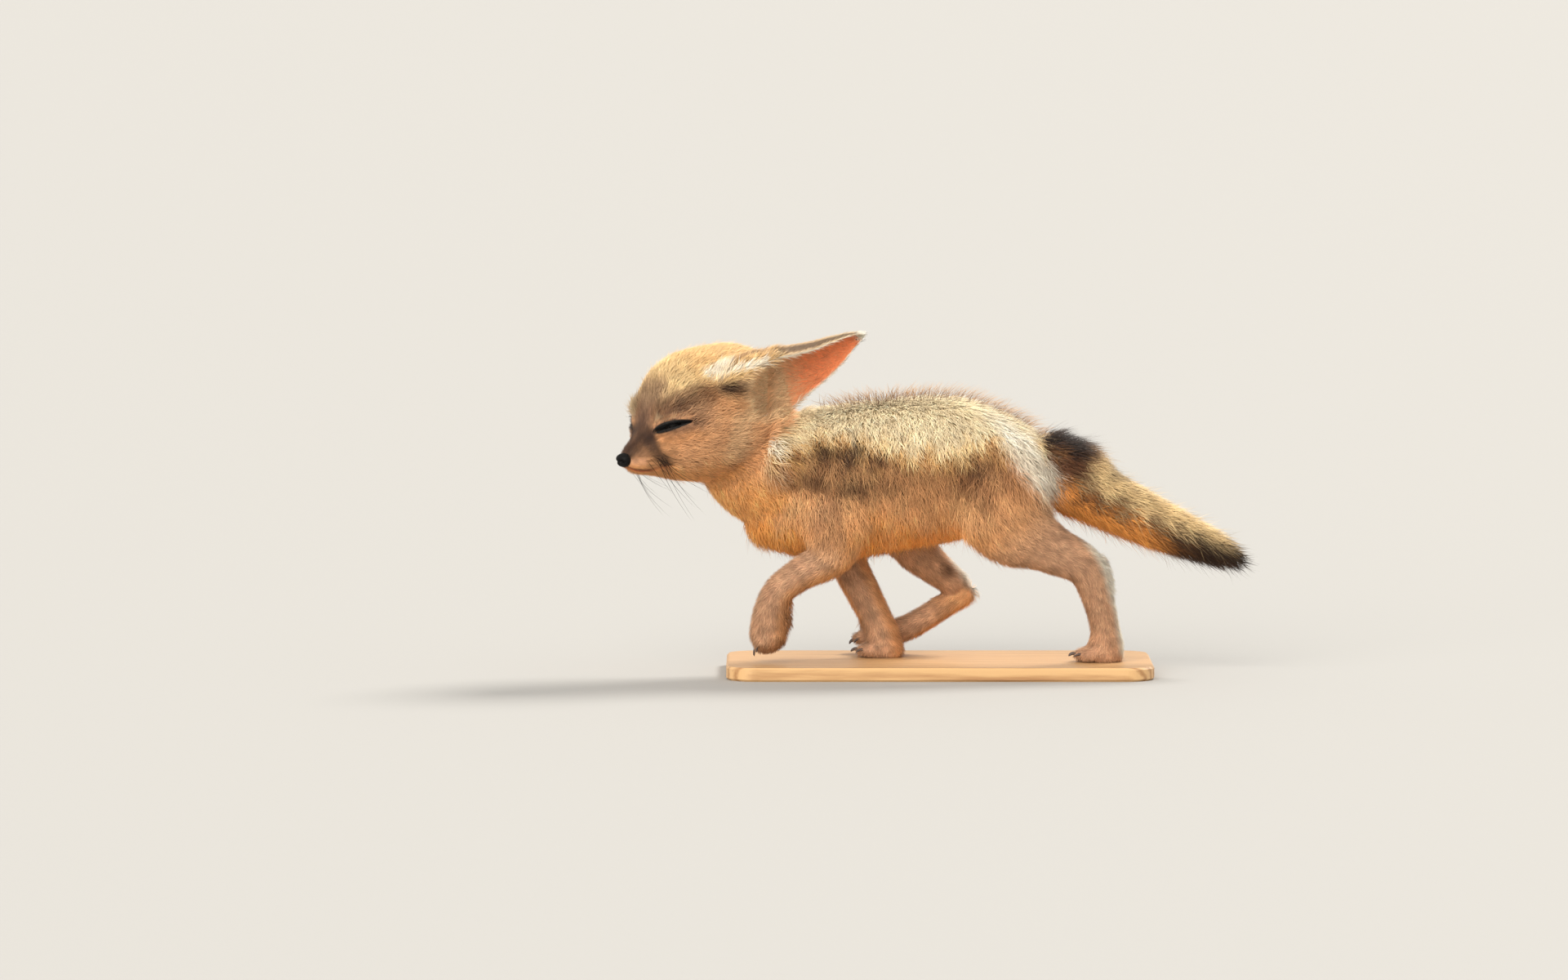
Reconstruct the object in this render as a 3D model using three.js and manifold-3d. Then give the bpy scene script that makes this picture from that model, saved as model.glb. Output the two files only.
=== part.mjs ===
// A young fennec fox walking into the wind, life size, fixed on a flat display base.
// Millimetres, +Z up. The fox faces -X, its left side is towards -Y, and the origin is
// the centre of the base's underside. Heights of the fox are measured from the base's top.
import * as THREE from "three";
import { ParametricGeometry } from "three/addons/geometries/ParametricGeometry.js";
import { mergeVertices } from "three/addons/utils/BufferGeometryUtils.js";
import Module from "manifold-3d";

const wasm = await Module();
wasm.setup();

// Driving dimensions
const GAP = 0.3;
const BASE = { length: 250, width: 120, thickness: 8, corner: 18, edge: 1.2 };
const HEAD_TURN = THREE.MathUtils.degToRad(32);
const HEAD_DIP = THREE.MathUtils.degToRad(6);
const HEAD_CENTRE = new THREE.Vector3(-122.4, -4, 145.7);
const EYE = { at: [54, 17, -0.5], radius: 6, depth: 6.6, slit: [9.8, 1.3, 6] };
const LIDS = { radii: [11, 5.6, 3], sunk: 1.2, corners: [-15, 16, 5.2] };
const NOSE = { at: [75.3, 0, -17.4], radii: [4.6, 5.6, 4.4] };
const NOSTRIL = { radii: [2.4, 1.1, 1.5], at: [3.8, 2.5, -0.6] };
const PHILTRUM = { radii: [2.2, 0.4, 2.6], at: [4.2, 0, -2.6] };
const MOUTH = { groove: 0.8, depth: 1.8, lip: 1.9, sunk: 0.9, front: [90, -21.6] };
const EAR_WALL = { thickness: 1.5, edge: 0.4, front: 0.5, opening: 6 };
const TOE = { length: 6.4, half: 3.1, height: 3.9, spacing: 4.9, setBack: 3 };

// The parting cuts: the inner side of each leg, and how far across the widest cuts reach
const MIDLINE = 5;
const ACROSS = 65;

// The coat where it is long: how far a core lies inside the outline, and the size of its locks
const TORSO_COAT = {
  depth: 4.5,
  rows: 7,
  around: 12,
  lowest: -0.4,
  ridge: 2,
  lock: { length: 35, width: 21, thickness: 3.2, root: 2.4 },
};
const TAIL_COAT = {
  depth: 4.5,
  rows: 7,
  around: 6,
  lowest: -1,
  ridge: 1,
  lock: { length: 31, width: 13, thickness: 2.8, root: 2 },
};

// Torso outline from chest to rump: place along X, top, widest level, bottom, half width
const TORSO = [
  [-119, 108, 94, 82, 14],
  [-107, 132, 103, 69.5, 25],
  [-90, 144, 107, 62.5, 31],
  [-62, 150, 108, 61.5, 35.5],
  [-26, 154.5, 110, 68, 37],
  [8, 155, 112, 74, 36],
  [34, 147, 112, 82, 33.5],
  [52, 137, 110, 90, 28],
  [66, 124, 108, 96, 18],
];

// Neck from skull to shoulders: centre, half width, reach to the nape, reach to the throat
const NECK = [
  [-127, -5, 143, 23, 20, 27],
  [-117, -3, 129, 27, 27, 32],
  [-101, -1, 117, 30, 30, 37],
  [-82, 0, 109, 31, 33, 36],
];

// Head outline in its own frame: place forward of the ears, top, widest level, bottom, half width
const HEAD = [
  [-31, 20, 2, -18, 16],
  [-18, 34, 1, -34, 28],
  [0, 41, -3, -39, 33],
  [18, 41, -6, -37, 33.5],
  [34, 38, -8, -34.5, 32.5],
  [46, 31, -9, -32, 29],
  [55, 17, -9, -30.5, 22.5],
  [62, 2, -13, -29, 14.5],
  [69, -6.5, -17, -27.5, 10.5],
  [76, -11, -18, -24.5, 7.5],
];

// Line of the mouth on the head, from under the nose to the corner
const MOUTH_LINE = [
  [75, 2.5, -22.4],
  [70, 9, -24.6],
  [62, 13, -26],
  [53, 17.5, -23.8],
];

// Ears in the head's frame: root, tip, and the direction of the lower edge
const EARS = {
  left: { root: [7.5, 28, 12.8], tip: [-65.4, 50, 39.4], lower: [-0.42, -0.45, -0.79] },
  right: { root: [8, -28, 8], tip: [-76, -40, 12], lower: [-0.42, 0.45, -0.79] },
};

// Ear from root to tip: share of its length, how far it bows to its lower edge, half width, depth of its back
const EAR = [
  [0, 4, 15, 13],
  [0.1, 5, 18, 15.5],
  [0.2, 5.5, 20.5, 17.5],
  [0.34, 5.8, 21.3, 18],
  [0.49, 5.6, 17.4, 16.5],
  [0.63, 4.8, 13.8, 13.5],
  [0.77, 2.6, 10.2, 9.6],
  [0.89, 0.4, 5.8, 6],
  [1, 0, 1.6, 1.6],
];

// Legs from the body down: centre, half width, reach to the rear, reach to the front
const LEFT_FORELEG = [
  [-66, -21, 100, 12, 22, 20],
  [-62, -24, 80, 11.5, 17, 17],
  [-65, -25, 63, 10.5, 13, 12],
  [-82, -24, 52, 9.5, 10.5, 10.5],
  [-94, -23, 42, 9.5, 9.5, 10],
  [-98.5, -22.5, 30, 10, 10.5, 11],
  [-100.5, -22, 17, 10.5, 12, 11.5],
  [-103, -21.5, 6, 8, 8, 7.5],
];
const RIGHT_FORELEG = [
  [-62, 19, 98, 12, 20, 20],
  [-57, 20, 76, 11.5, 13.5, 15],
  [-52, 19, 54, 10.5, 11, 11.5],
  [-44.5, 17, 38, 9.8, 10.5, 10.5],
  [-37.5, 15.5, 24, 9.5, 10, 10],
  [-33.5, 14.5, 13, 10, 11, 10.5],
  [-33, 14, 4, 11, 13.5, 12],
  [-34, 14, -2, 11, 12, 12],
];
const LEFT_HIND_LEG = [
  [30, -19, 116, 13, 24, 24],
  [33, -20, 98, 15, 26, 27],
  [46, -20, 80, 13.5, 20, 24],
  [66, -19, 66, 11.5, 15, 15],
  [84, -18, 55, 10, 13.5, 11],
  [91.5, -17.5, 40, 8.8, 10.5, 9.5],
  [96.5, -17, 22, 8.8, 9, 9],
  [97.5, -17, 10, 9.8, 11, 11],
  [96, -17, 2, 10.8, 12.5, 15],
  [95, -17, -3, 10.5, 12, 14],
];
const RIGHT_HIND_LEG = [
  [28, 18, 112, 13, 24, 24],
  [10, 22, 94, 14, 22, 23],
  [-16, 28, 76, 13, 18, 23],
  [-14, 32, 64, 12, 14, 14.5],
  [-3.5, 34.5, 53, 10.5, 10.8, 11.2],
  [6, 36, 45, 9, 9.5, 9.5],
  [13.5, 37, 38, 8.6, 9, 8.8],
];

// The lifted hind foot, from the point of the heel to the toes
const RIGHT_HIND_FOOT = [
  [21, 37.2, 39, 5.5, 5.5, 5.5],
  [14, 37.4, 35, 7.8, 8.2, 8.2],
  [5, 37.6, 29.5, 8, 8, 8],
  [-5.5, 38, 22.5, 8, 7.8, 7.8],
  [-19.5, 38, 14.5, 8.2, 8, 8.5],
  [-33, 38, 10.8, 9, 7, 8.2],
  [-43, 38, 9.8, 7, 5.5, 6],
];

// Toes of each foot: middle of the row, and how far the toes point down
const TOES = {
  left_foreleg: { at: [-104.5, -21.5, 11.8], dip: 58 },
  right_foreleg: { at: [-43, 14, 4.2], dip: 0 },
  left_hind_leg: { at: [84.5, -17, 4.2], dip: 0 },
  right_hind_leg: { at: [-44.5, 38, 9.5], dip: 20 },
};

// Tail from root to tip: centre, half width, reach up, reach down, out to the tips of its coat
const TAIL = [
  [50, 0, 122, 16, 14, 22],
  [64, 0, 115, 19, 18.5, 22],
  [76, 0, 107, 19.5, 22, 20],
  [96, -1, 95.5, 17, 17, 17],
  [120, -2, 84, 15, 14, 15],
  [144, -3, 73.5, 12.5, 11.5, 12.5],
  [162, -3, 65.5, 9.5, 9, 9.5],
  [174, -3, 60, 5, 5, 5],
];

// Where the body is parted, as lines seen from the side: runs of X and height
const HEAD_SEAM = [
  [-135, 93],
  [-77, 168.6],
];
const NECK_SEAM = [
  [-112, 62],
  [-86, 158],
];
const TAIL_SEAM = [
  [56.6, 92.6],
  [76, 128],
];
const SHOULDER_SEAM = [
  [-93, 58],
  [-91, 84],
  [-78, 97],
  [-56, 97],
  [-43, 84],
  [-39, 60],
];
const RUMP = [
  [34, 105],
  [50, 100],
  [62, 88],
  [84, 82],
];
const LEG_SEAMS = {
  left_foreleg: SHOULDER_SEAM,
  right_foreleg: SHOULDER_SEAM,
  left_hind_leg: [[1, 62], [18, 97], ...RUMP],
  right_hind_leg: [[-36, 56], [-33, 78], [-10, 94], [18, 104], ...RUMP],
};

const COLOURS = {
  straw: 0xd9c39a,
  fawn: 0xc29a72,
  tawny: 0xb98b66,
  sand: 0xcdb48c,
  black: 0x16120f,
  ear: 0xcf8f68,
  oak: 0xb98d5b,
};

// A fixed row of random numbers, so that every build gives the same coat.
let seed = 20251;
function random(low, high) {
  seed = (seed * 16807) % 2147483647;
  return low + ((high - low) * seed) / 2147483647;
}

// Turns a closed geometry into a solid whose faces point outwards.
function solidOf(geometry) {
  const bare = geometry.clone();
  bare.deleteAttribute("normal");
  bare.deleteAttribute("uv");
  const merged = mergeVertices(bare, 1e-4);
  const corners = merged.index.array;
  const kept = [];
  for (let i = 0; i < corners.length; i += 3) {
    const [a, b, c] = [corners[i], corners[i + 1], corners[i + 2]];
    if (a !== b && b !== c && a !== c) kept.push(a, b, c);
  }
  const build = (triangles) =>
    new wasm.Manifold(
      new wasm.Mesh({
        numProp: 3,
        vertProperties: merged.attributes.position.array,
        triVerts: new Uint32Array(triangles),
      }),
    );
  const made = build(kept);
  return made.volume() > 0 ? made : build(kept.reverse());
}

const union = (solids) => wasm.Manifold.union(solids);
const larger = (a, b) => (b.volume() > a.volume() ? b : a);

// A ball drawn out to three radii, placed by a matrix.
function egg(radii, matrix, sides) {
  return solidOf(new THREE.SphereGeometry(1, sides, sides / 2).scale(...radii).applyMatrix4(matrix));
}

// A rounded form along a smooth path, with rings of a stated half width and reach to both sides.
class Form {
  constructor(rows, options) {
    const usual = { upright: false, across: [0, 1, 0], matrix: new THREE.Matrix4() };
    Object.assign(this, usual, options);
    this.across = new THREE.Vector3(...this.across);
    this.path = new THREE.CatmullRomCurve3(rows.map((row) => new THREE.Vector3(...row.slice(0, 3))));
    this.reach = new THREE.CatmullRomCurve3(rows.map((row) => new THREE.Vector3(...row.slice(3, 6))));
  }

  // The form of an outline given by rows of place, top, widest level, bottom and half width.
  static fromOutline(rows, options) {
    const full = rows.map(([x, top, middle, bottom, half]) => {
      return [x, 0, middle, half, top - middle, middle - bottom];
    });
    return new Form(full, { ...options, upright: true });
  }

  // How far the rings have opened at a share of the length, so that both ends are domes.
  opening(share) {
    const dome = (s) => Math.sqrt(Math.max(0, 1 - (1 - Math.min(1, s)) ** 2));
    return dome(share / this.round[0]) * dome((1 - share) / this.round[1]);
  }

  // A point on the surface, at a share of the way round and of the way along, moved out by grow.
  point(turn, share, grow = 0) {
    const s = THREE.MathUtils.clamp(share, 0, 1);
    const t = this.path.getUtoTmapping(s);
    const reach = this.reach.getPoint(t);
    const along = this.path.getTangent(t);
    const side = this.across.clone();
    const up = new THREE.Vector3(0, 0, 1);
    if (!this.upright) {
      side.addScaledVector(along, -along.dot(side)).normalize();
      up.crossVectors(along, side).normalize();
    }
    const angle = 2 * Math.PI * turn;
    const open = this.opening(s);
    const high = Math.sin(angle) > 0 ? reach.y : reach.z;
    return this.path
      .getPoint(t)
      .addScaledVector(side, (reach.x + grow) * open * Math.cos(angle))
      .addScaledVector(up, (high + grow) * open * Math.sin(angle))
      .addScaledVector(along, grow * (s < 0.5 ? open - 1 : 1 - open))
      .applyMatrix4(this.matrix);
  }

  // The direction out of the surface at a point.
  normal(turn, share) {
    const step = 0.01;
    const s = THREE.MathUtils.clamp(share, step, 1 - step);
    const round = this.point(turn + step, s).sub(this.point(turn - step, s));
    const along = this.point(turn, s + step).sub(this.point(turn, s - step));
    const out = round.cross(along).normalize();
    const across = this.point(turn, s).sub(this.point(turn + 0.5, s));
    return out.dot(across) < 0 ? out.negate() : out;
  }

  // The point of the surface nearest to a place, with the direction out there.
  nearest(place) {
    let best = { far: Infinity };
    const fineness = 90;
    for (let i = 0; i < fineness; i++) {
      for (let j = 1; j < fineness; j++) {
        const far = this.point(i / fineness, j / fineness).distanceTo(place);
        if (far < best.far) best = { far, turn: i / fineness, share: j / fineness };
      }
    }
    return { point: this.point(best.turn, best.share), out: this.normal(best.turn, best.share) };
  }

  // A flat, tapered lock of hair that leaves the form under its surface, follows it and ends proud of it.
  lock({ turn, share, drift, length, width, thickness, root, rise }) {
    const run = length / this.path.getLength();
    const foot = (t) => [turn + drift * t, Math.min(share + run * t, 0.99)];
    const spine = (t) => {
      const height = THREE.MathUtils.lerp(-root, rise, Math.sin((Math.PI / 2) * t));
      return this.point(...foot(t)).addScaledVector(this.normal(...foot(t)), height);
    };
    const fullness = (t) => (t > 0 && t < 1 ? Math.sin(Math.PI * (0.1 + 0.9 * t) ** 0.65) : 0);
    const surface = (u, t, target) => {
      const out = this.normal(...foot(t));
      const ahead = spine(Math.min(1, t + 0.05)).sub(spine(Math.max(0, t - 0.05)));
      const across = new THREE.Vector3().crossVectors(ahead, out).normalize();
      const full = fullness(t);
      const angle = 2 * Math.PI * (u % 1);
      target
        .copy(spine(t))
        .addScaledVector(across, 0.5 * width * full * Math.cos(angle))
        .addScaledVector(out, 0.5 * thickness * full * Math.sin(angle));
    };
    return solidOf(new ParametricGeometry(surface, 4, 3));
  }

  // Locks in staggered rows over the form, from one share of its length to another.
  coat({ depth, rows, around, lowest, ridge, lock }, from, to, size) {
    const locks = [];
    for (let row = 0; row < rows; row++) {
      const share = THREE.MathUtils.lerp(from, to, row / (rows - 1));
      const taper = size(share);
      for (let i = 0; i < around; i++) {
        const turn = (i + 0.5 * (row % 2) + random(-0.12, 0.12)) / around;
        const [side, high] = [Math.cos(2 * Math.PI * turn), Math.sin(2 * Math.PI * turn)];
        if (high < lowest) continue;
        locks.push(
          this.lock({
            turn,
            share: share + random(-0.012, 0.012),
            drift: -0.03 * side,
            length: lock.length * random(0.9, 1.12) * taper,
            width: lock.width * random(0.95, 1.12) * taper,
            thickness: lock.thickness,
            root: lock.root,
            rise: (depth * random(0.85, 1.15) + ridge * Math.max(0, high) ** 4) * taper,
          }),
        );
      }
    }
    return locks;
  }

  // The whole form as a solid, its rings set closer together towards both ends.
  solid(grow = 0) {
    const crowding = 0.55;
    const ease = (v) => v - (crowding * Math.sin(2 * Math.PI * v)) / (2 * Math.PI);
    const surface = (u, v, target) => target.copy(this.point(u % 1, ease(v), grow));
    return solidOf(new ParametricGeometry(surface, this.sides, this.steps));
  }
}

// The head's own frame: forward along the muzzle, left, and up.
function headFrame() {
  const [turnCos, turnSin] = [Math.cos(HEAD_TURN), Math.sin(HEAD_TURN)];
  const [dipCos, dipSin] = [Math.cos(HEAD_DIP), Math.sin(HEAD_DIP)];
  const forward = new THREE.Vector3(-turnCos * dipCos, -turnSin * dipCos, -dipSin);
  const left = new THREE.Vector3(turnSin, -turnCos, 0);
  const up = new THREE.Vector3().crossVectors(forward, left);
  return new THREE.Matrix4().makeBasis(forward, left, up).setPosition(HEAD_CENTRE);
}
const IN_HEAD = headFrame();
const inHead = (x, y, z) => new THREE.Vector3(x, y, z).applyMatrix4(IN_HEAD);
const headDirection = (x, y, z) => new THREE.Vector3(x, y, z).transformDirection(IN_HEAD);

// The frame of a thing set on a surface: its place, the direction it runs in and the direction out.
function seat(place, ahead, out) {
  const x = ahead.clone().addScaledVector(out, -out.dot(ahead)).normalize();
  const y = new THREE.Vector3().crossVectors(out, x);
  return new THREE.Matrix4().makeBasis(x, y, out).setPosition(place);
}

const skull = Form.fromOutline(HEAD, { sides: 26, steps: 24, round: [0.12, 0.05], matrix: IN_HEAD });

// Each eye: where its slit lies on the head, its ball, and the lids that close over it.
function eyeParts(side) {
  const [x, y, z] = EYE.at;
  const { point, out } = skull.nearest(inHead(x, y * side, z));
  const [back, apart, up] = LIDS.corners;
  const corners = headDirection(back, apart * side, up);
  const centre = point.clone().addScaledVector(out, -EYE.depth);
  const ball = (grow) => egg(new Array(3).fill(EYE.radius + grow), seat(centre, corners, out), 12);
  return {
    lids: egg(LIDS.radii, seat(point.clone().addScaledVector(out, -LIDS.sunk), corners, out), 12),
    ball: ball(0),
    hollow: union([ball(GAP), egg(EYE.slit, seat(point, corners, out), 12)]),
  };
}
const eyes = { left_eye: eyeParts(1), right_eye: eyeParts(-1) };

// The black pad of the nose with its two nostrils.
function nosePad() {
  const [x, y, z] = NOSE.at;
  const place = (dx, dy, dz) => IN_HEAD.clone().setPosition(inHead(x + dx, y + dy, z + dz));
  const nostrils = [-1, 1].map((side) => {
    const [ahead, apart, up] = NOSTRIL.at;
    return egg(NOSTRIL.radii, place(ahead, apart * side, up), 8);
  });
  const philtrum = egg(PHILTRUM.radii, place(...PHILTRUM.at), 8);
  return egg(NOSE.radii, place(0, 0, 0), 16).subtract(union([...nostrils, philtrum]));
}

// The lips, and the narrow groove that parts them on both sides of the muzzle.
function lips() {
  return [-1, 1].map((side) => {
    const rows = MOUTH_LINE.map(([x, y, z], i) => {
      const { point, out } = skull.nearest(inHead(x, y * side, z));
      const size = MOUTH.lip * (1 - 0.12 * i);
      return [...point.addScaledVector(out, -MOUTH.sunk).toArray(), size, size, size];
    });
    return new Form(rows, { sides: 8, steps: 10, round: [0.15, 0.15], across: [0, 0, 1] }).solid();
  });
}
function mouthGroove() {
  const line = new THREE.CatmullRomCurve3(MOUTH_LINE.map(([x, , z]) => new THREE.Vector3(x, z, 0)));
  const points = line.getSpacedPoints(8);
  points.unshift(new THREE.Vector3(...MOUTH.front, 0));
  const shape = new THREE.Shape([
    ...points.map((p) => new THREE.Vector2(p.x, p.y + MOUTH.groove / 2)),
    ...points.reverse().map((p) => new THREE.Vector2(p.x, p.y - MOUTH.groove / 2)),
  ]);
  const plate = new THREE.ExtrudeGeometry(shape, { depth: 2 * ACROSS, bevelEnabled: false })
    .translate(0, 0, -ACROSS)
    .rotateX(Math.PI / 2)
    .applyMatrix4(IN_HEAD);
  return solidOf(plate).subtract(skull.solid(-MOUTH.depth));
}

// One ear: a tapering scoop, open to the side, with a thin wall. Its front stands a share of its depth.
function ear({ root, tip, lower }) {
  const [from, to] = [inHead(...root), inHead(...tip)];
  const down = headDirection(...lower);
  const rows = (size) =>
    EAR.map(([share, bow, half, depth]) => {
      const middle = from.clone().lerp(to, share).addScaledVector(down, bow);
      return [...middle.toArray(), ...size(half, depth)];
    });
  const options = { sides: 16, steps: 13, round: [0.06, 0.04], across: down.toArray() };
  const { thickness, edge, front, opening } = EAR_WALL;
  const within = (size) => Math.max(edge, size - thickness);
  const outer = rows((half, depth) => [half, depth, depth * front]);
  const inner = rows((half, depth) => [within(half), within(depth), depth + opening]);
  const shell = new Form(outer, options).solid().subtract(new Form(inner, options).solid());
  return shell.subtract(skull.solid(GAP)).decompose().reduce(larger);
}

// The four toes of a foot, in a shallow arc.
function toes({ at, dip }) {
  const pitch = new THREE.Matrix4().makeRotationY(-THREE.MathUtils.degToRad(dip));
  return [-1.5, -0.5, 0.5, 1.5].map((step) => {
    const setBack = Math.abs(step) > 1 ? TOE.setBack : 0;
    const offset = new THREE.Vector3(setBack, step * TOE.spacing, 0).applyMatrix4(pitch);
    const place = pitch.clone().setPosition(new THREE.Vector3(...at).add(offset));
    return egg([TOE.length, TOE.half, TOE.height], place, 8);
  });
}

const legShape = { sides: 12, steps: 18, round: [0.06, 0.06] };
const legs = {
  left_foreleg: [LEFT_FORELEG],
  right_foreleg: [RIGHT_FORELEG],
  left_hind_leg: [LEFT_HIND_LEG],
  right_hind_leg: [RIGHT_HIND_LEG, RIGHT_HIND_FOOT],
};
const ROOM = 600;
const aboveBase = solidOf(new THREE.BoxGeometry(ROOM, ROOM, ROOM).translate(0, 0, ROOM / 2 + GAP));
const legSolids = Object.entries(legs).map(([name, lengths]) => {
  const limb = lengths.map((rows) => new Form(rows, legShape).solid());
  return union([...limb, ...toes(TOES[name])]).intersect(aboveBase);
});

// A thin sheet that cuts along a line seen from the side, between two places across.
function seam(line, from, to, turn = 0) {
  const middle = new THREE.Vector3(...line[0]).lerp(new THREE.Vector3(...line.at(-1)), 0.5);
  const around = new THREE.Matrix4().makeTranslation(middle.x, 0, 0);
  around.multiply(new THREE.Matrix4().makeRotationZ(turn));
  around.multiply(new THREE.Matrix4().makeTranslation(-middle.x, 0, 0));
  const sheets = line.slice(1).map(([x, z], i) => {
    const [x0, z0] = line[i];
    const length = Math.hypot(x - x0, z - z0) + GAP;
    const sheet = new THREE.BoxGeometry(length, to - from, GAP)
      .rotateY(-Math.atan2(z - z0, x - x0))
      .translate((x + x0) / 2, (from + to) / 2, (z + z0) / 2);
    return solidOf(sheet.applyMatrix4(around));
  });
  return union(sheets);
}

// The cuts that free one leg: over the top of it, and along its inner side.
function legSeams(line, side) {
  const [near, far] = [side * MIDLINE, side * ACROSS];
  const shape = new THREE.Shape(line.map(([x, z]) => new THREE.Vector2(x, z)));
  const inner = new THREE.ExtrudeGeometry(shape, { depth: GAP, bevelEnabled: false })
    .rotateX(Math.PI / 2)
    .translate(0, near + GAP / 2, 0);
  return [seam(line, Math.min(near, far), Math.max(near, far)), solidOf(inner)];
}

// The display base: a flat board with rounded corners and eased edges.
function baseBoard() {
  const { length, width, thickness, corner, edge } = BASE;
  const [x, y, r] = [length / 2 - edge, width / 2 - edge, corner - edge];
  const outline = new THREE.Shape()
    .moveTo(x, y - r)
    .absarc(x - r, y - r, r, 0, Math.PI / 2)
    .absarc(r - x, y - r, r, Math.PI / 2, Math.PI)
    .absarc(r - x, r - y, r, Math.PI, 1.5 * Math.PI)
    .absarc(x - r, r - y, r, 1.5 * Math.PI, 2 * Math.PI);
  const board = new THREE.ExtrudeGeometry(outline, {
    depth: thickness - 2 * edge,
    bevelThickness: edge,
    bevelSize: edge,
    bevelSegments: 1,
    curveSegments: 6,
  });
  return solidOf(board.translate(0, 0, edge));
}

// The whole animal with its face, before it is parted. Torso and tail have a core under their locks.
const torsoCore = TORSO.map(([x, top, middle, bottom, half]) => {
  const inset = TORSO_COAT.depth;
  return [x, top - inset, middle, bottom, half - inset];
});
const tailCore = TAIL.map(([x, y, z, ...reach]) => {
  return [x, y, z, ...reach.map((size) => Math.max(1.6, size - TAIL_COAT.depth))];
});
const torsoForm = Form.fromOutline(torsoCore, { sides: 22, steps: 18, round: [0.1, 0.1] });
const neckForm = new Form(NECK, { sides: 22, steps: 10, round: [0.15, 0.15] });
const tailForm = new Form(tailCore, { sides: 12, steps: 16, round: [0.08, 0.05] });
const coat = [
  ...torsoForm.coat(TORSO_COAT, 0.1, 0.84, () => 1),
  ...tailForm.coat(TAIL_COAT, 0.16, 0.88, (share) => Math.min(1, 1.35 - 0.75 * share)),
];
const eyeWork = Object.values(eyes);
const headSolid = union([skull.solid(), ...eyeWork.map((eye) => eye.lids), ...lips()])
  .subtract(union([...eyeWork.map((eye) => eye.hollow), mouthGroove()]));
const trunk = [torsoForm, neckForm, tailForm].map((form) => form.solid());
const whole = union([...trunk, ...legSolids, headSolid, ...coat]);

const legCuts = Object.entries(LEG_SEAMS).flatMap(([name, line]) => {
  return legSeams(line, name.startsWith("left") ? -1 : 1);
});
const seams = union([
  seam(HEAD_SEAM, -ACROSS, ACROSS, HEAD_TURN / 2),
  seam(NECK_SEAM, -ACROSS, ACROSS),
  seam(TAIL_SEAM, -ACROSS, ACROSS),
  ...legCuts,
]);
const pieces = whole.subtract(seams).decompose();

// The largest piece that holds a place.
function pieceAt(place) {
  const probe = solidOf(new THREE.BoxGeometry(2, 2, 2).translate(...place));
  return pieces.filter((piece) => !piece.intersect(probe).isEmpty()).reduce(larger);
}

const group = new THREE.Group();
const fox = new THREE.Group();
fox.position.z = BASE.thickness;
group.add(fox);

function addMesh(parent, name, solid, color, roughness = 0.9) {
  const { vertProperties, triVerts } = solid.getMesh();
  const geometry = new THREE.BufferGeometry()
    .setAttribute("position", new THREE.BufferAttribute(vertProperties, 3))
    .setIndex(new THREE.BufferAttribute(triVerts, 1));
  geometry.computeVertexNormals();
  const mesh = new THREE.Mesh(geometry, new THREE.MeshStandardMaterial({ color, roughness, metalness: 0 }));
  mesh.name = name;
  parent.add(mesh);
}

const nodes = {
  head: [inHead(10, 0, 0).toArray(), COLOURS.straw],
  neck: [[-112, -2, 118], COLOURS.straw],
  torso: [[-20, 0, 115], COLOURS.straw],
  left_foreleg: [[-62, -24, 78], COLOURS.tawny],
  right_foreleg: [[-57, 20, 76], COLOURS.tawny],
  left_hind_leg: [[46, -20, 80], COLOURS.fawn],
  right_hind_leg: [[12, 22, 88], COLOURS.fawn],
  tail: [[96, -1, 95], COLOURS.sand],
};
for (const [name, [place, colour]] of Object.entries(nodes)) addMesh(fox, name, pieceAt(place), colour);
for (const [name, { ball }] of Object.entries(eyes)) addMesh(fox, name, ball, COLOURS.black, 0.15);
addMesh(fox, "nose", nosePad().subtract(skull.solid(GAP)).decompose().reduce(larger), COLOURS.black, 0.45);
addMesh(fox, "left_ear", ear(EARS.left), COLOURS.ear);
addMesh(fox, "right_ear", ear(EARS.right), COLOURS.ear);
addMesh(group, "stand_base", baseBoard(), COLOURS.oak, 0.5);

export default group;
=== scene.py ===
"""A young fennec fox walking into the wind, life size, on its display base.

Shapes are worked out in millimetres in the part's frame and scaled to metres when a piece is
finished. The fox faces -X, its left side is towards -Y and +Z is up. Heights in the tables are
measured from the top of the base.
"""

import logging
import math
from dataclasses import dataclass, field, replace
from enum import Enum
from typing import Callable

import bmesh
import bpy
import numpy as np
from mathutils import Matrix, Vector
from mathutils.kdtree import KDTree


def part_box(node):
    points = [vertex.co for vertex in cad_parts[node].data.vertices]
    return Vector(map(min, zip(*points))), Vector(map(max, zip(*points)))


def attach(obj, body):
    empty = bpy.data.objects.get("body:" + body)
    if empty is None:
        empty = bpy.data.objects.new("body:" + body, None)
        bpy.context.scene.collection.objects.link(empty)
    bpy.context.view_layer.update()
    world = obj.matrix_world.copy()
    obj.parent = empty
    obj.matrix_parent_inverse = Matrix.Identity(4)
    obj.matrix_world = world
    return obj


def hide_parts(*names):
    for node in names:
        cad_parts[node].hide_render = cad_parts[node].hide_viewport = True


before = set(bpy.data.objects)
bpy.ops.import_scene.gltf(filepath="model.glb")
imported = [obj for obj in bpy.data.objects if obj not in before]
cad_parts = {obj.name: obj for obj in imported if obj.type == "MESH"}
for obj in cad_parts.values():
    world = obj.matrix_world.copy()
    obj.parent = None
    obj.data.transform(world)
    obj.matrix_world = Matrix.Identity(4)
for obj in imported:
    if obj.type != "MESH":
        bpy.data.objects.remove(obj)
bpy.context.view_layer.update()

LOG = logging.getLogger("fennec_fox")
MM = 0.001
BODY = "root"
BASE_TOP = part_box("stand_base")[1].z / MM
Rows = tuple[tuple[float, ...], ...]
Array = np.ndarray
Material = bpy.types.Material
Mesh = bpy.types.Mesh
Object = bpy.types.Object
Node = bpy.types.Node
Triple = tuple[float, float, float]
Pair = tuple[Array, Array]
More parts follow.
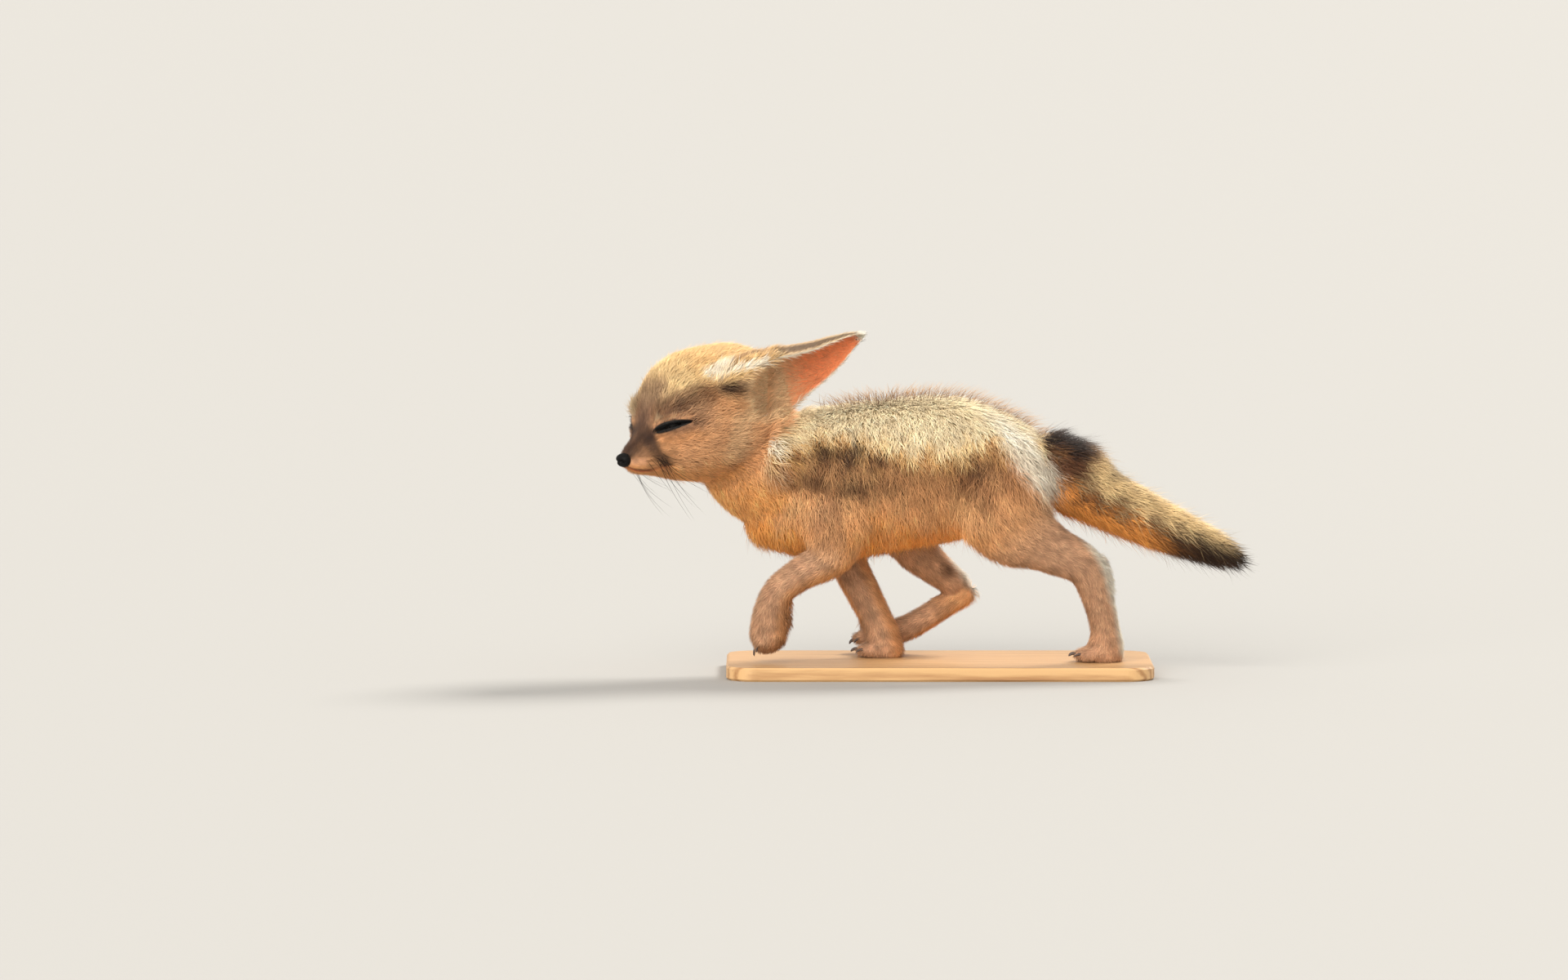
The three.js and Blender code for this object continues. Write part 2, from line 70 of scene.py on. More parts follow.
DOWN = np.array((0.0, 0.0, -1.0))
PELT = "pelt"
GROWTH = ("length", "rise", "width", "density", "gather")


class Tint(Enum):
    """The colours of the fox and its stage, as screen red, green and blue."""

    SNOW = (255, 246, 226)
    CREAM = (248, 224, 178)
    STRAW = (236, 200, 142)
    GOLD = (216, 164, 96)
    BUFF = (192, 136, 88)
    BROWN = (114, 72, 44)
    UMBER = (52, 30, 20)
    TAN = (228, 164, 112)
    # Warm orange of the undersides, legs and tail: partly the fox's own tawny colour, partly painted
    # bounce light from sand and painted light glowing through thin fur.
    ORANGE_AND_SAND_BOUNCE = (250, 164, 82)
    ROSE = (208, 156, 122)
    GREY_BROWN = (126, 94, 74)
    EAR_BACK = (200, 168, 130)
    # Painted light: the orange glow of light shining through the thin ear.
    EAR_BACKLIGHT = (248, 142, 90)
    SOOT = (20, 14, 12)
    JET = (7, 6, 6)
    LIP = (188, 92, 58)
    CLAW = (70, 54, 46)
    OAK_PALE = (206, 166, 116)
    OAK_DARK = (150, 104, 62)
    FLOOR = (166, 166, 164)

    @property
    def linear(self) -> Array:
        """The colour in linear light."""
        screen = np.array(self.value) / 255.0
        return np.where(screen <= 0.04045, screen / 12.92, ((screen + 0.055) / 1.055) ** 2.4)

    @property
    def rgba(self) -> tuple[float, float, float, float]:
        """The colour in linear light with full alpha."""
        return (*self.linear.tolist(), 1.0)


def ramp(values: Array, low: float, high: float) -> Array:
    """Rises smoothly from 0 at low to 1 at high, or falls where high is less than low."""
    share = np.clip((values - low) / (high - low), 0.0, 1.0)
    return share * share * (3.0 - 2.0 * share)


def blend(first: Array, second: Array, share: Array) -> Array:
    """Mixes two rows of vectors by a share for each row."""
    return first + (second - first) * share[:, None]


def unit(vectors: Array) -> Array:
    """Scales each row to length one."""
    return vectors / np.maximum(np.linalg.norm(vectors, axis=-1, keepdims=True), 1e-9)


def across_plane(vectors: Array, normals: Array) -> Array:
    """The part of each vector that lies in the plane of its normal."""
    return vectors - normals * np.sum(vectors * normals, axis=-1, keepdims=True)


def painted(base: Array, *layers: tuple[Tint, Array | float]) -> Array:
    """Lays tints over a colour, one after another.

    Args:
        base: The first colour, one for all or one in each row.
        layers: Each tint with its share, one for all or one for each row.

    Returns:
        The colours, one in each row.
    """
    for tint, share in layers:
        base = base + (tint.linear - base) * np.reshape(share, (-1, 1))
    return base


def lifted() -> Array:
    """The frame of the tables, whose heights start at the top of the base."""
    made = np.eye(4)
    made[2, 3] = BASE_TOP
    return made


class Ripples:
    """Smooth, seeded unevenness in space, made of waves in many directions."""

    COUNT = 16

    def __init__(self, scale: float, seed: int) -> None:
        """Draws the waves.

        Args:
            scale: The usual distance between crests, in millimetres.
            seed: The seed of the draw.
        """
        draw = np.random.default_rng(seed)
        lengths = scale * draw.uniform(0.6, 1.7, (self.COUNT, 1))
        self.waves = unit(draw.normal(size=(self.COUNT, 3))) * 2.0 * math.pi / lengths
        self.phases = draw.uniform(0.0, 2.0 * math.pi, self.COUNT)

    def at(self, places: Array) -> Array:
        """The unevenness at each place, mostly between -1 and 1."""
        waves = np.sin(places @ self.waves.T + self.phases)
        return waves.sum(axis=1) * 1.3 / math.sqrt(self.COUNT)


class Curve:
    """A smooth open curve through points, that can be walked at an even pace."""

    FINENESS = 400

    def __init__(self, points: Array) -> None:
        """Sets up the curve.

        Args:
            points: The points that it passes through, one in each row.
        """
        self.points = np.vstack([2 * points[0] - points[1], points, 2 * points[-1] - points[-2]])
        gaps = np.sqrt(np.linalg.norm(np.diff(self.points, axis=0), axis=1))
        gaps[1:-1] = np.where(gaps[1:-1] < 1e-4, 1.0, gaps[1:-1])
        gaps[0] = gaps[1] if gaps[0] < 1e-4 else gaps[0]
        gaps[-1] = gaps[-2] if gaps[-1] < 1e-4 else gaps[-1]
        self.gaps = gaps
        fine = np.linspace(0.0, 1.0, self.FINENESS + 1)
        runs = np.linalg.norm(np.diff(self.at(fine), axis=0), axis=1)
        self.table = (np.concatenate([[0.0], np.cumsum(runs)]) / max(runs.sum(), 1e-9), fine)

    def at(self, place: Array) -> Array:
        """The points at places from 0 to 1 along the list of points."""
        last = len(self.points) - 3
        whole = np.clip(np.floor(place * last).astype(int), 0, last - 1)
        t = (place * last - whole)[:, None]
        p0, p1, p2, p3 = (self.points[whole + k] for k in range(4))
        d0, d1, d2 = (self.gaps[whole + k][:, None] for k in range(3))
        m1 = ((p1 - p0) / d0 - (p2 - p0) / (d0 + d1) + (p2 - p1) / d1) * d1
        m2 = ((p2 - p1) / d1 - (p3 - p1) / (d1 + d2) + (p3 - p2) / d2) * d1
        bend = 3 * (p2 - p1) - 2 * m1 - m2
        return p1 + t * (m1 + t * (bend + t * (2 * (p1 - p2) + m1 + m2)))

    def evenly(self, share: Array) -> Array:
        """Turns shares of the curve's length into places for at()."""
        return np.interp(share, *self.table)

    def heading(self, place: Array) -> Array:
        """The directions that the curve runs in at places."""
        step = 5e-4
        ahead = self.at(np.minimum(place + step, 1.0))
        return unit(ahead - self.at(np.maximum(place - step, 0.0)))


@dataclass(frozen=True)
class Hair:
    """How the coat grows on one length of the body.

    Sizes are in millimetres, and density is in tufts on each square millimetre.
    """

    length: float
    rise: float
    width: float
    density: float
    droop: float = 0.0
    gather: float = 0.5


class Kind(Enum):
    """The lengths of the body that are coloured each in its own way."""

    TORSO = 0
    NECK = 1
    HEAD = 2
    FORELEG = 3
    HIND_LEG = 4
    TAIL = 5


@dataclass
class Form:
    """One rounded length of the body: rings along a smooth line.

    Each row holds a centre, a half width and how far the ring reaches up and down from the
    centre. The skin lies under that outline by the depths of inset, for the sides, the upper and
    the lower half. The tile is its place on the unwrap of the skin.
    """

    kind: Kind
    rows: Rows
    ends: tuple[float, float]
    inset: Triple = (0.0, 0.0, 0.0)
    hair: Hair = Hair(1.0, 0.1, 0.1, 0.1)
    tile: tuple[float, float, float, float] = (0.0, 0.0, 1.0, 1.0)
    upright: bool = False
    across: Triple = (0.0, 1.0, 0.0)
    into: Array = field(default_factory=lifted)
    comb: float = 1.0
    least: float = 1.6

    SIDES = 44
    STEPS = 56
    CROWDING = 0.55
    BODY_LEVEL = 90.0

    def __post_init__(self) -> None:
        """Lays the curves through the rows."""
        table = np.array(self.rows, float)
        self.path = Curve(table[:, :3])
        self.reach = Curve(table[:, 3:])

    @property
    def from_body(self) -> bool:
        """Whether a leg starts inside the body, and isn't a foot of its own."""
        return self.rows[0][2] > self.BODY_LEVEL

    def opening(self, share: Array) -> Array:
        """How far the rings have opened, so that both ends are domes."""
        def dome(part: Array) -> Array:
            """The rise of a dome over its radius."""
            return np.sqrt(np.clip(1.0 - (1.0 - np.minimum(1.0, part)) ** 2, 0.0, 1.0))
        return dome(share / self.ends[0]) * dome((1.0 - share) / self.ends[1])

    def points(self, turn: Array, share: Array, outline: bool = False) -> Array:
        """Points on the skin, or on the coat's outline."""
        return self.ring_points(turn, share, np.zeros(3) if outline else np.array(self.inset))

    def ring_points(self, turn: Array, share: Array, inset: Array) -> Array:
        """Points that lie under the outline.

        Args:
            turn: Shares of the way round, where 0.25 is up and 0.75 is down.
            share: Shares of the way along.
            inset: How deep they lie at the sides, above and below, for all or for each point.

        Returns:
            One point of the part's frame in each row.
        """
        share = np.clip(share, 0.0, 1.0)
        place = self.path.evenly(share)
        along = self.path.heading(place)
        side = np.broadcast_to(np.array(self.across, float), along.shape)
        up = np.broadcast_to(np.array((0.0, 0.0, 1.0)), along.shape)
        if not self.upright:
            side = unit(across_plane(side, along))
            up = unit(np.cross(along, side))
        half, high, low = np.maximum(self.reach.at(place) - inset, self.least).T
        angle = 2.0 * math.pi * turn
        opening = self.opening(share)
        level = np.where(np.sin(angle) > 0, high, low)
        made = self.path.at(place)
        made = made + side * (half * opening * np.cos(angle))[:, None]
        made = made + up * (level * opening * np.sin(angle))[:, None]
        return made @ self.into[:3, :3].T + self.into[:3, 3]

    def directions(self, turn: Array, share: Array) -> Pair:
        """The way along the surface and the way out of it, at points of the skin."""
        step = 0.01
        share = np.clip(share, step, 1.0 - step)
        along = unit(self.points(turn, share + step) - self.points(turn, share - step))
        around = self.points(turn + step, share) - self.points(turn - step, share)
        return along, unit(np.cross(around, along))

    def nearest(self, place: Array) -> Pair:
        """The point of the coat's outline nearest to a place, and the way out there."""
        turn, share = np.meshgrid(np.linspace(0, 1, 180), np.linspace(0.01, 0.99, 180))
        turn, share = turn.ravel(), share.ravel()
        points = self.points(turn, share, outline=True)
        best = int(np.argmin(np.linalg.norm(points - place, axis=1)))
        out = self.directions(turn[best:best + 1], share[best:best + 1])[1][0]
        return points[best], out

    def on_tile(self, turn: Array, share: Array) -> Array:
        """Where points of the form lie on the unwrap."""
        low, high = np.array(self.tile[:2]), np.array(self.tile[2:])
        return low + (high - low) * (0.02 + 0.96 * np.column_stack([turn, share]))

    def loft(self, bm: bmesh.types.BMesh) -> None:
        """Adds the form to a mesh as one closed surface.

        Args:
            bm: The mesh that takes it.
        """
        spoke = bm.verts.layers.int.get("spoke") or bm.verts.layers.int.new("spoke")
        steps = np.linspace(0.004, 0.996, self.STEPS)
        shares = steps - self.CROWDING * np.sin(2.0 * math.pi * steps) / (2.0 * math.pi)
        turns = np.arange(self.SIDES) / self.SIDES
        made = bmesh.ops.create_circle(bm, cap_ends=True, segments=self.SIDES, radius=1.0)
        ring = made["verts"]
        for number, vert in enumerate(ring):
            vert[spoke] = number
        edges = list(dict.fromkeys(edge for vert in ring for edge in vert.link_edges))
        faces = [ring[0].link_faces[0]]
        for step, share in enumerate(shares):
            if step:
                grown = bmesh.ops.extrude_edge_only(bm, edges=edges)["geom"]
                ring = [item for item in grown if isinstance(item, bmesh.types.BMVert)]
                edges = [item for item in grown if isinstance(item, bmesh.types.BMEdge)]
                faces += [item for item in grown if isinstance(item, bmesh.types.BMFace)]
            places = self.points(turns, np.full(self.SIDES, share))
            for vert in ring:
                vert.co = places[vert[spoke]]
        faces += bmesh.ops.edgeloop_fill(bm, edges=edges)["faces"]
        bmesh.ops.recalc_face_normals(bm, faces=faces)


@dataclass
class EarShell(Form):
    """One ear: a thin scoop. Half of the way round is its back, and the rest is its inside."""

    wall: float = 1.4
    arc: tuple[float, float] = (-0.045, 0.545)
    rim: float = 0.16

    SIDES = 72

    def reach_across(self, turn: Array) -> Pair:
        """How far across the scoop each turn is, and whether it is on the back."""
        turn = np.asarray(turn, float) % 1.0
        return 2.0 * np.minimum(turn, 1.0 - turn), turn < 0.5

    def points(self, turn: Array, share: Array, outline: bool = False) -> Array:
        """Points on the back or the inside, as in Form."""
        across, back = self.reach_across(turn)
        edge = np.clip(np.minimum(across, 1.0 - across) / self.rim, 0.0, 1.0)
        thick = self.wall * np.sqrt(1.0 - (1.0 - edge) ** 2) * ramp(share, 1.02, 0.7)
        inset = np.where(back, 0.0, thick + 0.05)
        low, high = self.arc
        return self.ring_points(low + (high - low) * across, share, inset[:, None])


def outline_rows(rows: Rows) -> Rows:
    """Turns rows of place, top, widest level, bottom and half width into rows of a Form."""
    return tuple((x, 0.0, mid, half, top - mid, mid - low) for x, top, mid, low, half in rows)


@dataclass(frozen=True)
class HeadPose:
    """How the head is set on the neck: its centre, its turn to the left and its dip."""

    centre: Triple = (-122.4, -4.0, 145.7)
    turn: float = math.radians(32.0)
    dip: float = math.radians(6.0)

    @property
    def frame(self) -> Array:
        """The head's own frame: forward along the muzzle, left, and up."""
        forward = np.array((
            -math.cos(self.turn) * math.cos(self.dip),
            -math.sin(self.turn) * math.cos(self.dip),
            -math.sin(self.dip),
        ))
        left = np.array((math.sin(self.turn), -math.cos(self.turn), 0.0))
        made = lifted()
        made[:3, 3] += self.centre
        made[:3, :3] = np.column_stack([forward, left, np.cross(forward, left)])
        return made

    def place(self, *point: float) -> Array:
        """A point of the head's frame in the part's frame."""
        return self.frame[:3, :3] @ np.array(point) + self.frame[:3, 3]

    def direction(self, *vector: float) -> Array:
        """A direction of the head's frame in the part's frame, at length one."""
        return unit(self.frame[:3, :3] @ np.array(vector))

    def within(self, places: Array) -> Array:
        """Places of the part's frame in the head's frame."""
        return (places - self.frame[:3, 3]) @ self.frame[:3, :3]


def seat(place: Array, ahead: Array, out: Array) -> Array:
    """The frame of a thing set on a surface.

    Args:
        place: Where it is set.
        ahead: The direction that it runs in.
        out: The direction out of the surface.

    Returns:
        A matrix whose columns are ahead, across, out and the place.
    """
    x = unit(across_plane(ahead, out))
    made = np.eye(4)
    made[:3, :4] = np.column_stack([x, np.cross(out, x), out, place])
    return made


@dataclass
class BodyPlan:
    """The rounded lengths of the fox, from the same sizes as its solids."""

    head_pose: HeadPose = field(default_factory=HeadPose)
    torso: Rows = (
        (-119, 108, 94, 82, 14), (-107, 132, 103, 69.5, 25), (-90, 144, 107, 62.5, 31),
        (-62, 150, 108, 61.5, 35.5), (-26, 154.5, 110, 68, 37), (8, 155, 112, 74, 36),
        (34, 147, 112, 82, 33.5), (52, 137, 110, 90, 28), (66, 124, 108, 96, 18),
    )
    neck: Rows = (
        (-127, -5, 143, 23, 20, 27), (-117, -3, 129, 27, 27, 32), (-101, -1, 117, 30, 30, 37),
        (-82, 0, 109, 31, 33, 36),
    )
    head: Rows = (
        (-31, 20, 2, -18, 16), (-18, 34, 1, -34, 28), (0, 41, -3, -39, 33), (18, 41, -6, -37, 33.5),
        (34, 38, -8, -34.5, 32.5), (46, 31, -9, -32, 29), (55, 17, -9, -30.5, 22.5),
        (62, 2, -13, -29, 14.5), (69, -6.5, -17, -27.5, 10.5), (76, -11, -18, -24.5, 7.5),
    )
    left_foreleg: Rows = (
        (-66, -21, 100, 12, 22, 20), (-62, -24, 80, 11.5, 17, 17), (-65, -25, 63, 10.5, 13, 12),
        (-82, -24, 52, 9.5, 10.5, 10.5), (-94, -23, 42, 9.5, 9.5, 10),
        (-98.5, -22.5, 30, 10, 10.5, 11), (-100.5, -22, 17, 10.5, 12, 11.5),
        (-103, -21.5, 6, 8, 8, 7.5),
    )
    right_foreleg: Rows = (
        (-62, 19, 98, 12, 20, 20), (-57, 20, 76, 11.5, 13.5, 15), (-52, 19, 54, 10.5, 11, 11.5),
        (-44.5, 17, 38, 9.8, 10.5, 10.5), (-37.5, 15.5, 24, 9.5, 10, 10),
        (-33.5, 14.5, 13, 10, 11, 10.5), (-33, 14, 4, 11, 13.5, 12), (-34, 14, -2, 11, 12, 12),
    )
    left_hind_leg: Rows = (
        (30, -19, 116, 13, 24, 24), (33, -20, 98, 15, 26, 27), (46, -20, 80, 13.5, 20, 24),
        (66, -19, 66, 11.5, 15, 15), (84, -18, 55, 10, 13.5, 11), (91.5, -17.5, 40, 8.8, 10.5, 9.5),
        (96.5, -17, 22, 8.8, 9, 9), (97.5, -17, 10, 9.8, 11, 11), (96, -17, 2, 10.8, 12.5, 15),
        (95, -17, -3, 10.5, 12, 14),
    )
    right_hind_leg: Rows = (
        (28, 18, 112, 13, 24, 24), (10, 22, 94, 14, 22, 23), (-16, 28, 76, 13, 18, 23),
        (-14, 32, 64, 12, 14, 14.5), (-3.5, 34.5, 53, 10.5, 10.8, 11.2), (6, 36, 45, 9, 9.5, 9.5),
        (13.5, 37, 38, 8.6, 9, 8.8),
    )
    right_hind_foot: Rows = (
        (21, 37.2, 39, 5.5, 5.5, 5.5), (14, 37.4, 35, 7.8, 8.2, 8.2), (5, 37.6, 29.5, 8, 8, 8),
        (-5.5, 38, 22.5, 8, 7.8, 7.8), (-19.5, 38, 14.5, 8.2, 8, 8.5), (-33, 38, 10.8, 9, 7, 8.2),
        (-43, 38, 9.8, 7, 5.5, 6),
    )
    tail: Rows = (
        (50, 0, 122, 16, 14, 22), (64, 0, 115, 19, 18.5, 22), (76, 0, 107, 19.5, 22, 20),
        (96, -1, 95.5, 17, 17, 17), (120, -2, 84, 15, 14, 15), (144, -3, 73.5, 12.5, 11.5, 12.5),
        (162, -3, 65.5, 9.5, 9, 9.5), (174, -3, 60, 5, 5, 5),
    )
    wool: Hair = Hair(length=13.0, rise=5.0, width=0.38, density=1.3, droop=4.8, gather=0.75)
    nape: Hair = Hair(length=8.5, rise=3.0, width=0.38, density=1.6, droop=0.5, gather=0.4)
    face: Hair = Hair(length=8.0, rise=2.8, width=0.35, density=1.75, gather=0.45)
    limb: Hair = Hair(length=4.4, rise=1.7, width=0.38, density=2.6, gather=0.5)
    brush: Hair = Hair(length=15.0, rise=6.0, width=0.42, density=1.7, droop=0.1, gather=0.4)

    def forms(self) -> list[Form]:
        """The rounded lengths, each with its coat and its tile of the unwrap."""
        limb_ends, limb_inset = (0.06, 0.06), (1.3, 1.3, 1.3)
        limbs = [
            (Kind.FORELEG, self.left_foreleg, (0.0, 0.0, 0.2, 0.4)),
            (Kind.FORELEG, self.right_foreleg, (0.2, 0.0, 0.4, 0.4)),
            (Kind.HIND_LEG, self.left_hind_leg, (0.4, 0.0, 0.6, 0.4)),
            (Kind.HIND_LEG, self.right_hind_leg, (0.6, 0.0, 0.8, 0.25)),
            (Kind.HIND_LEG, self.right_hind_foot, (0.6, 0.25, 0.8, 0.4)),
        ]
        made = [Form(k, rows, limb_ends, limb_inset, self.limb, tile) for k, rows, tile in limbs]
        made.append(Form(
            Kind.TORSO, outline_rows(self.torso), (0.1, 0.1), (4.5, 4.5, 1.5), self.wool,
            (0.0, 0.4, 0.5, 0.75), upright=True,
        ))
        made.append(Form(
            Kind.NECK, self.neck, (0.15, 0.15), (2.2, 2.4, 2.0), self.nape, (0.0, 0.75, 0.5, 1.0),
        ))
        made.append(Form(
            Kind.HEAD, outline_rows(self.head), (0.12, 0.05), (1.3, 1.3, 1.3), self.face,
            (0.5, 0.4, 1.0, 0.75), upright=True, into=self.head_pose.frame, comb=-1.0,
        ))
        made.append(Form(
            Kind.TAIL, self.tail, (0.08, 0.05), (4.5, 4.5, 4.5), self.brush, (0.5, 0.75, 1.0, 1.0),
        ))
        return made


def locate(places: Array, forms: list[Form]) -> tuple[Array, Array, Array]:
    """Finds the nearest form of each place, and the way round and along it."""
    turns, shares = np.meshgrid(np.arange(120) / 120, np.linspace(0.01, 0.99, 90))
    turns, shares = turns.ravel(), shares.ravel()
    tree = KDTree(len(turns) * len(forms))
    for number, form in enumerate(forms):
        for offset, point in enumerate(form.points(turns, shares)):
            tree.insert(point, number * len(turns) + offset)
    tree.balance()
    found = np.array([tree.find(place)[1] for place in places])
    return found // len(turns), turns[found % len(turns)], shares[found % len(turns)]


@dataclass
class Ground:
    """A surface that a coat grows on, with what grows at each of its vertices."""

    places: Array
    normals: Array
    triangles: Array
    links: Array
    comb: Array
    pelt: Array
    tips: Array
    length: Array
    rise: Array
    width: Array
    density: Array
    gather: Array
    unwrap: Array

    ON_TIPS = 0.85

    @classmethod
    def bare(cls, mesh: Mesh) -> "Ground":
        """The surface of a mesh, with nothing on it yet."""
        places, normals, triangles, links = read_surface(mesh)
        size = len(places)
        rows = {name: np.zeros((size, 3)) for name in ("comb", "pelt", "tips")}
        rows.update({name: np.zeros(size) for name in GROWTH})
        return cls(places, normals, triangles, links, unwrap=np.zeros((size, 2)), **rows)

    def ease(self, hair: Hair, share: Array | float, here: Array | slice = slice(None)) -> None:
        """Brings the coat nearer to another one.

        Args:
            hair: The coat that it comes to.
            share: How far it comes there, for each vertex that changes.
            here: Which vertices change.
        """
        for name in GROWTH:
            values = getattr(self, name)
            values[here] += share * (getattr(hair, name) - values[here])

    def lay(self, roots: Array, tips: Array, share: Array) -> None:
        """Mixes in other colours of root and tip by a share for each vertex."""
        self.pelt = blend(self.pelt, roots, share)
        self.tips = blend(self.tips, tips, share)

    def stain(self, tint: Tint, share: Array) -> None:
        """Adds a colour to the skin and the coat by a share for each vertex."""
        self.pelt = painted(self.pelt, (tint, share))
        self.tips = painted(self.tips, (tint, self.ON_TIPS * share))

    def soften(self, values: Array, rounds: int) -> Array:
        """Evens out values over the surface.

        Args:
            values: One number or one row for each vertex.
            rounds: How often each vertex is mixed half and half with its neighbours.

        Returns:
            The evened values, in the same shape.
        """
        first, second = self.links.T
        size = len(self.places)
        around = np.maximum(np.bincount(self.links.ravel(), minlength=size), 1)
        table = values.reshape(size, -1).copy()
        for _ in range(rounds):
            for column in table.T:
                total = np.bincount(first, column[second], size)
                total += np.bincount(second, column[first], size)
                column += 0.5 * (total / around - column)
        return table.reshape(values.shape)


def read_surface(mesh: Mesh) -> tuple[Array, Array, Array, Array]:
    """The places, normals, triangles and edges of a mesh as arrays."""
    mesh.calc_loop_triangles()
    size = len(mesh.vertices)
    places = np.empty(size * 3)
    normals = np.empty(size * 3)
    triangles = np.empty(len(mesh.loop_triangles) * 3, int)
    links = np.empty(len(mesh.edges) * 2, int)
    mesh.vertices.foreach_get("co", places)
    mesh.vertices.foreach_get("normal", normals)
    mesh.loop_triangles.foreach_get("vertices", triangles)
    mesh.edges.foreach_get("vertices", links)
    return places.reshape(-1, 3), normals.reshape(-1, 3), triangles.reshape(-1, 3), links.reshape(-1, 2)


def mesh_from(bm: bmesh.types.BMesh, name: str, smooth: bool = False) -> Mesh:
    """Turns a bmesh into a mesh, and frees it.

    Args:
        bm: The faces.
        name: The name of the mesh.
        smooth: Whether they are shaded smooth.

    Returns:
        The mesh.
    """
    for face in bm.faces:
        face.smooth = smooth
    made = bpy.data.meshes.new(name)
    bm.to_mesh(made)
    bm.free()
    return made


def by_vertices(item: bmesh.types.BMEdge | bmesh.types.BMFace) -> float:
    """The rank of an edge or a face, as an extrusion leaves them in no fixed order."""
    numbers = [vert.index for vert in item.verts]
    return 1e6 * min(numbers) + max(numbers)


def placed(name: str, data: bpy.types.ID) -> Object:
    """Puts a new object that holds the data into the scene, at the origin."""
    made = bpy.data.objects.new(name, data)
    bpy.context.scene.collection.objects.link(made)
    return made


def evaluated(mesh: Mesh, add: Callable[[Object], None]) -> Mesh:
    """A mesh after modifiers.

    Args:
        mesh: The mesh to start from.
        add: Puts the modifiers on an object that holds it.

    Returns:
        The new mesh. The first one and its object are removed.
    """
    carrier = placed("carrier", mesh)
    add(carrier)
    graph = bpy.context.evaluated_depsgraph_get()
    made = bpy.data.meshes.new_from_object(carrier.evaluated_get(graph))
    bpy.data.objects.remove(carrier)
    bpy.data.meshes.remove(mesh)
    return made


def finish_piece(
    name: str,
    mesh: Mesh,
    material: Material,
    stands_for: tuple[str, ...] = (),
) -> Object:
    """Scales a mesh to metres and sets it on the part's body.

    Args:
        name: The name of the piece.
        mesh: Its mesh, in millimetres of the part's frame.
        material: Its material.
        stands_for: The solids that it replaces.

    Returns:
        The finished piece.
    """
    mesh.name = name
    mesh.transform(Matrix.Scale(MM, 4))
    mesh.materials.clear()
    mesh.materials.append(material)
    piece = placed(name, mesh)
    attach(piece, BODY)
    if stands_for:
        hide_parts(*stands_for)
    mesh.calc_loop_triangles()
    LOG.info("%s: %d triangles", name, len(mesh.loop_triangles))
    return piece


def store_colour(mesh: Mesh, colours: Array) -> None:
    """Stores a colour for each vertex of a mesh."""
    layer = mesh.attributes.new(PELT, "FLOAT_COLOR", "POINT")
    full = np.ones((len(colours), 4), np.float32)
    full[:, :3] = colours
    layer.data.foreach_set("color", full.ravel())


@dataclass(frozen=True)
class Bulge:
    """A soft swelling of the skin, or a hollow where its height is negative."""

    at: Triple
    radius: float
    height: float

    def lift(self, places: Array) -> Array:
        """How far the skin is moved out at each place."""
        far = np.linalg.norm(places - np.array(self.at), axis=1) / self.radius
        return self.height * np.exp(-far * far)


@dataclass
class Eye:
    """One squinting eye: a slit between swollen lids, with a wet ball behind it.

    Sizes are in millimetres, and places are in the head's frame with left as positive.
    """

    side: int
    head: HeadPose
    skull: Form
    at: Triple = (53.4, 20.6, 0.6)
    corners: Triple = (-18.1, 16.5, 4.9)
    radius: float = 6.0
    depth: float = 6.9
    half_slit: float = 12.4
    half_opening: float = 0.9
    half_lid: float = 2.5
    groove: float = 2.4
    swell: float = 1.8
    lid_spread: float = 5.4
    crease_at: float = 4.6
    crease_half: float = 0.9
    crease_depth: float = 0.7

    def __post_init__(self) -> None:
        """Finds where the eye sits on the head."""
        a, b, c = self.at
        place, out = self.skull.nearest(self.head.place(a, b * self.side, c))
        back, apart, up = self.corners
        ahead = self.head.direction(back, apart * self.side, up)
        self.frame = seat(place, ahead, out)

    def within(self, places: Array) -> Array:
        """Places in the eye's frame: back along the slit, across it, and out."""
        return (places - self.frame[:3, 3]) @ self.frame[:3, :3]

    def slit(self, local: Array) -> Pair:
        """How far each place is from the slit's middle line, and the slit's half height there."""
        along = np.clip(local[:, 0] / self.half_slit, -1.0, 1.0)
        bow = 0.4 * np.cos(along * math.pi * 0.5) * self.side
        half = self.half_opening * np.clip(1.0 - along ** 2, 0.0, 1.0) + 0.12
        return np.abs(local[:, 1] - bow), half

    def lift(self, places: Array) -> Array:
        """How far the skin is moved out for the lids and in for the slit."""
        local = self.within(places)
        near = np.abs(local[:, 2]) < 3.0 * self.radius
        off, half = self.slit(local)
        inside = np.exp(-(local[:, 0] / (self.half_slit + 2.0)) ** 4)
        lids = self.swell * np.exp(-(local[:, 1] / self.lid_spread) ** 2) * inside
        ends = ramp(np.abs(local[:, 0]), self.half_slit + 0.6, self.half_slit - 1.2)
        cut = (self.groove + self.swell) * ramp(off - half, 0.55, -0.35) * ends
        crease = np.exp(-((off - self.crease_at) / self.crease_half) ** 2)
        crease = self.crease_depth * crease * inside
        return (lids - cut - crease) * near

    def darkness(self, places: Array) -> Array:
        """How dark the lids are at each place: soot at the slit and along its line back."""
        local = self.within(places)
        near = np.abs(local[:, 2]) < 2.0 * self.radius
        off, _ = self.slit(local)
        along = np.clip(local[:, 0] / self.half_slit, -1.0, 1.0)
        almond = self.half_lid * (1.0 - along ** 2) ** 0.7 * (1.0 - 0.3 * along) + 0.45
        ends = ramp(np.abs(local[:, 0]), self.half_slit + 1.2, self.half_slit - 0.2)
        return ramp(off - almond, 0.5, -0.3) * ends * near

    def ball(self, material: Material) -> Object:
        """Makes the eyeball."""
        bm = bmesh.new()
        place = self.frame.copy()
        place[:3, 3] -= self.frame[:3, 2] * self.depth
        bmesh.ops.create_uvsphere(
            bm, u_segments=40, v_segments=24, radius=self.radius, matrix=Matrix(place.tolist())
        )
        mesh = mesh_from(bm, "eyeball", smooth=True)
        side = "left" if self.side > 0 else "right"
        return finish_piece(f"{side}_eyeball", mesh, material, (f"{side}_eye",))


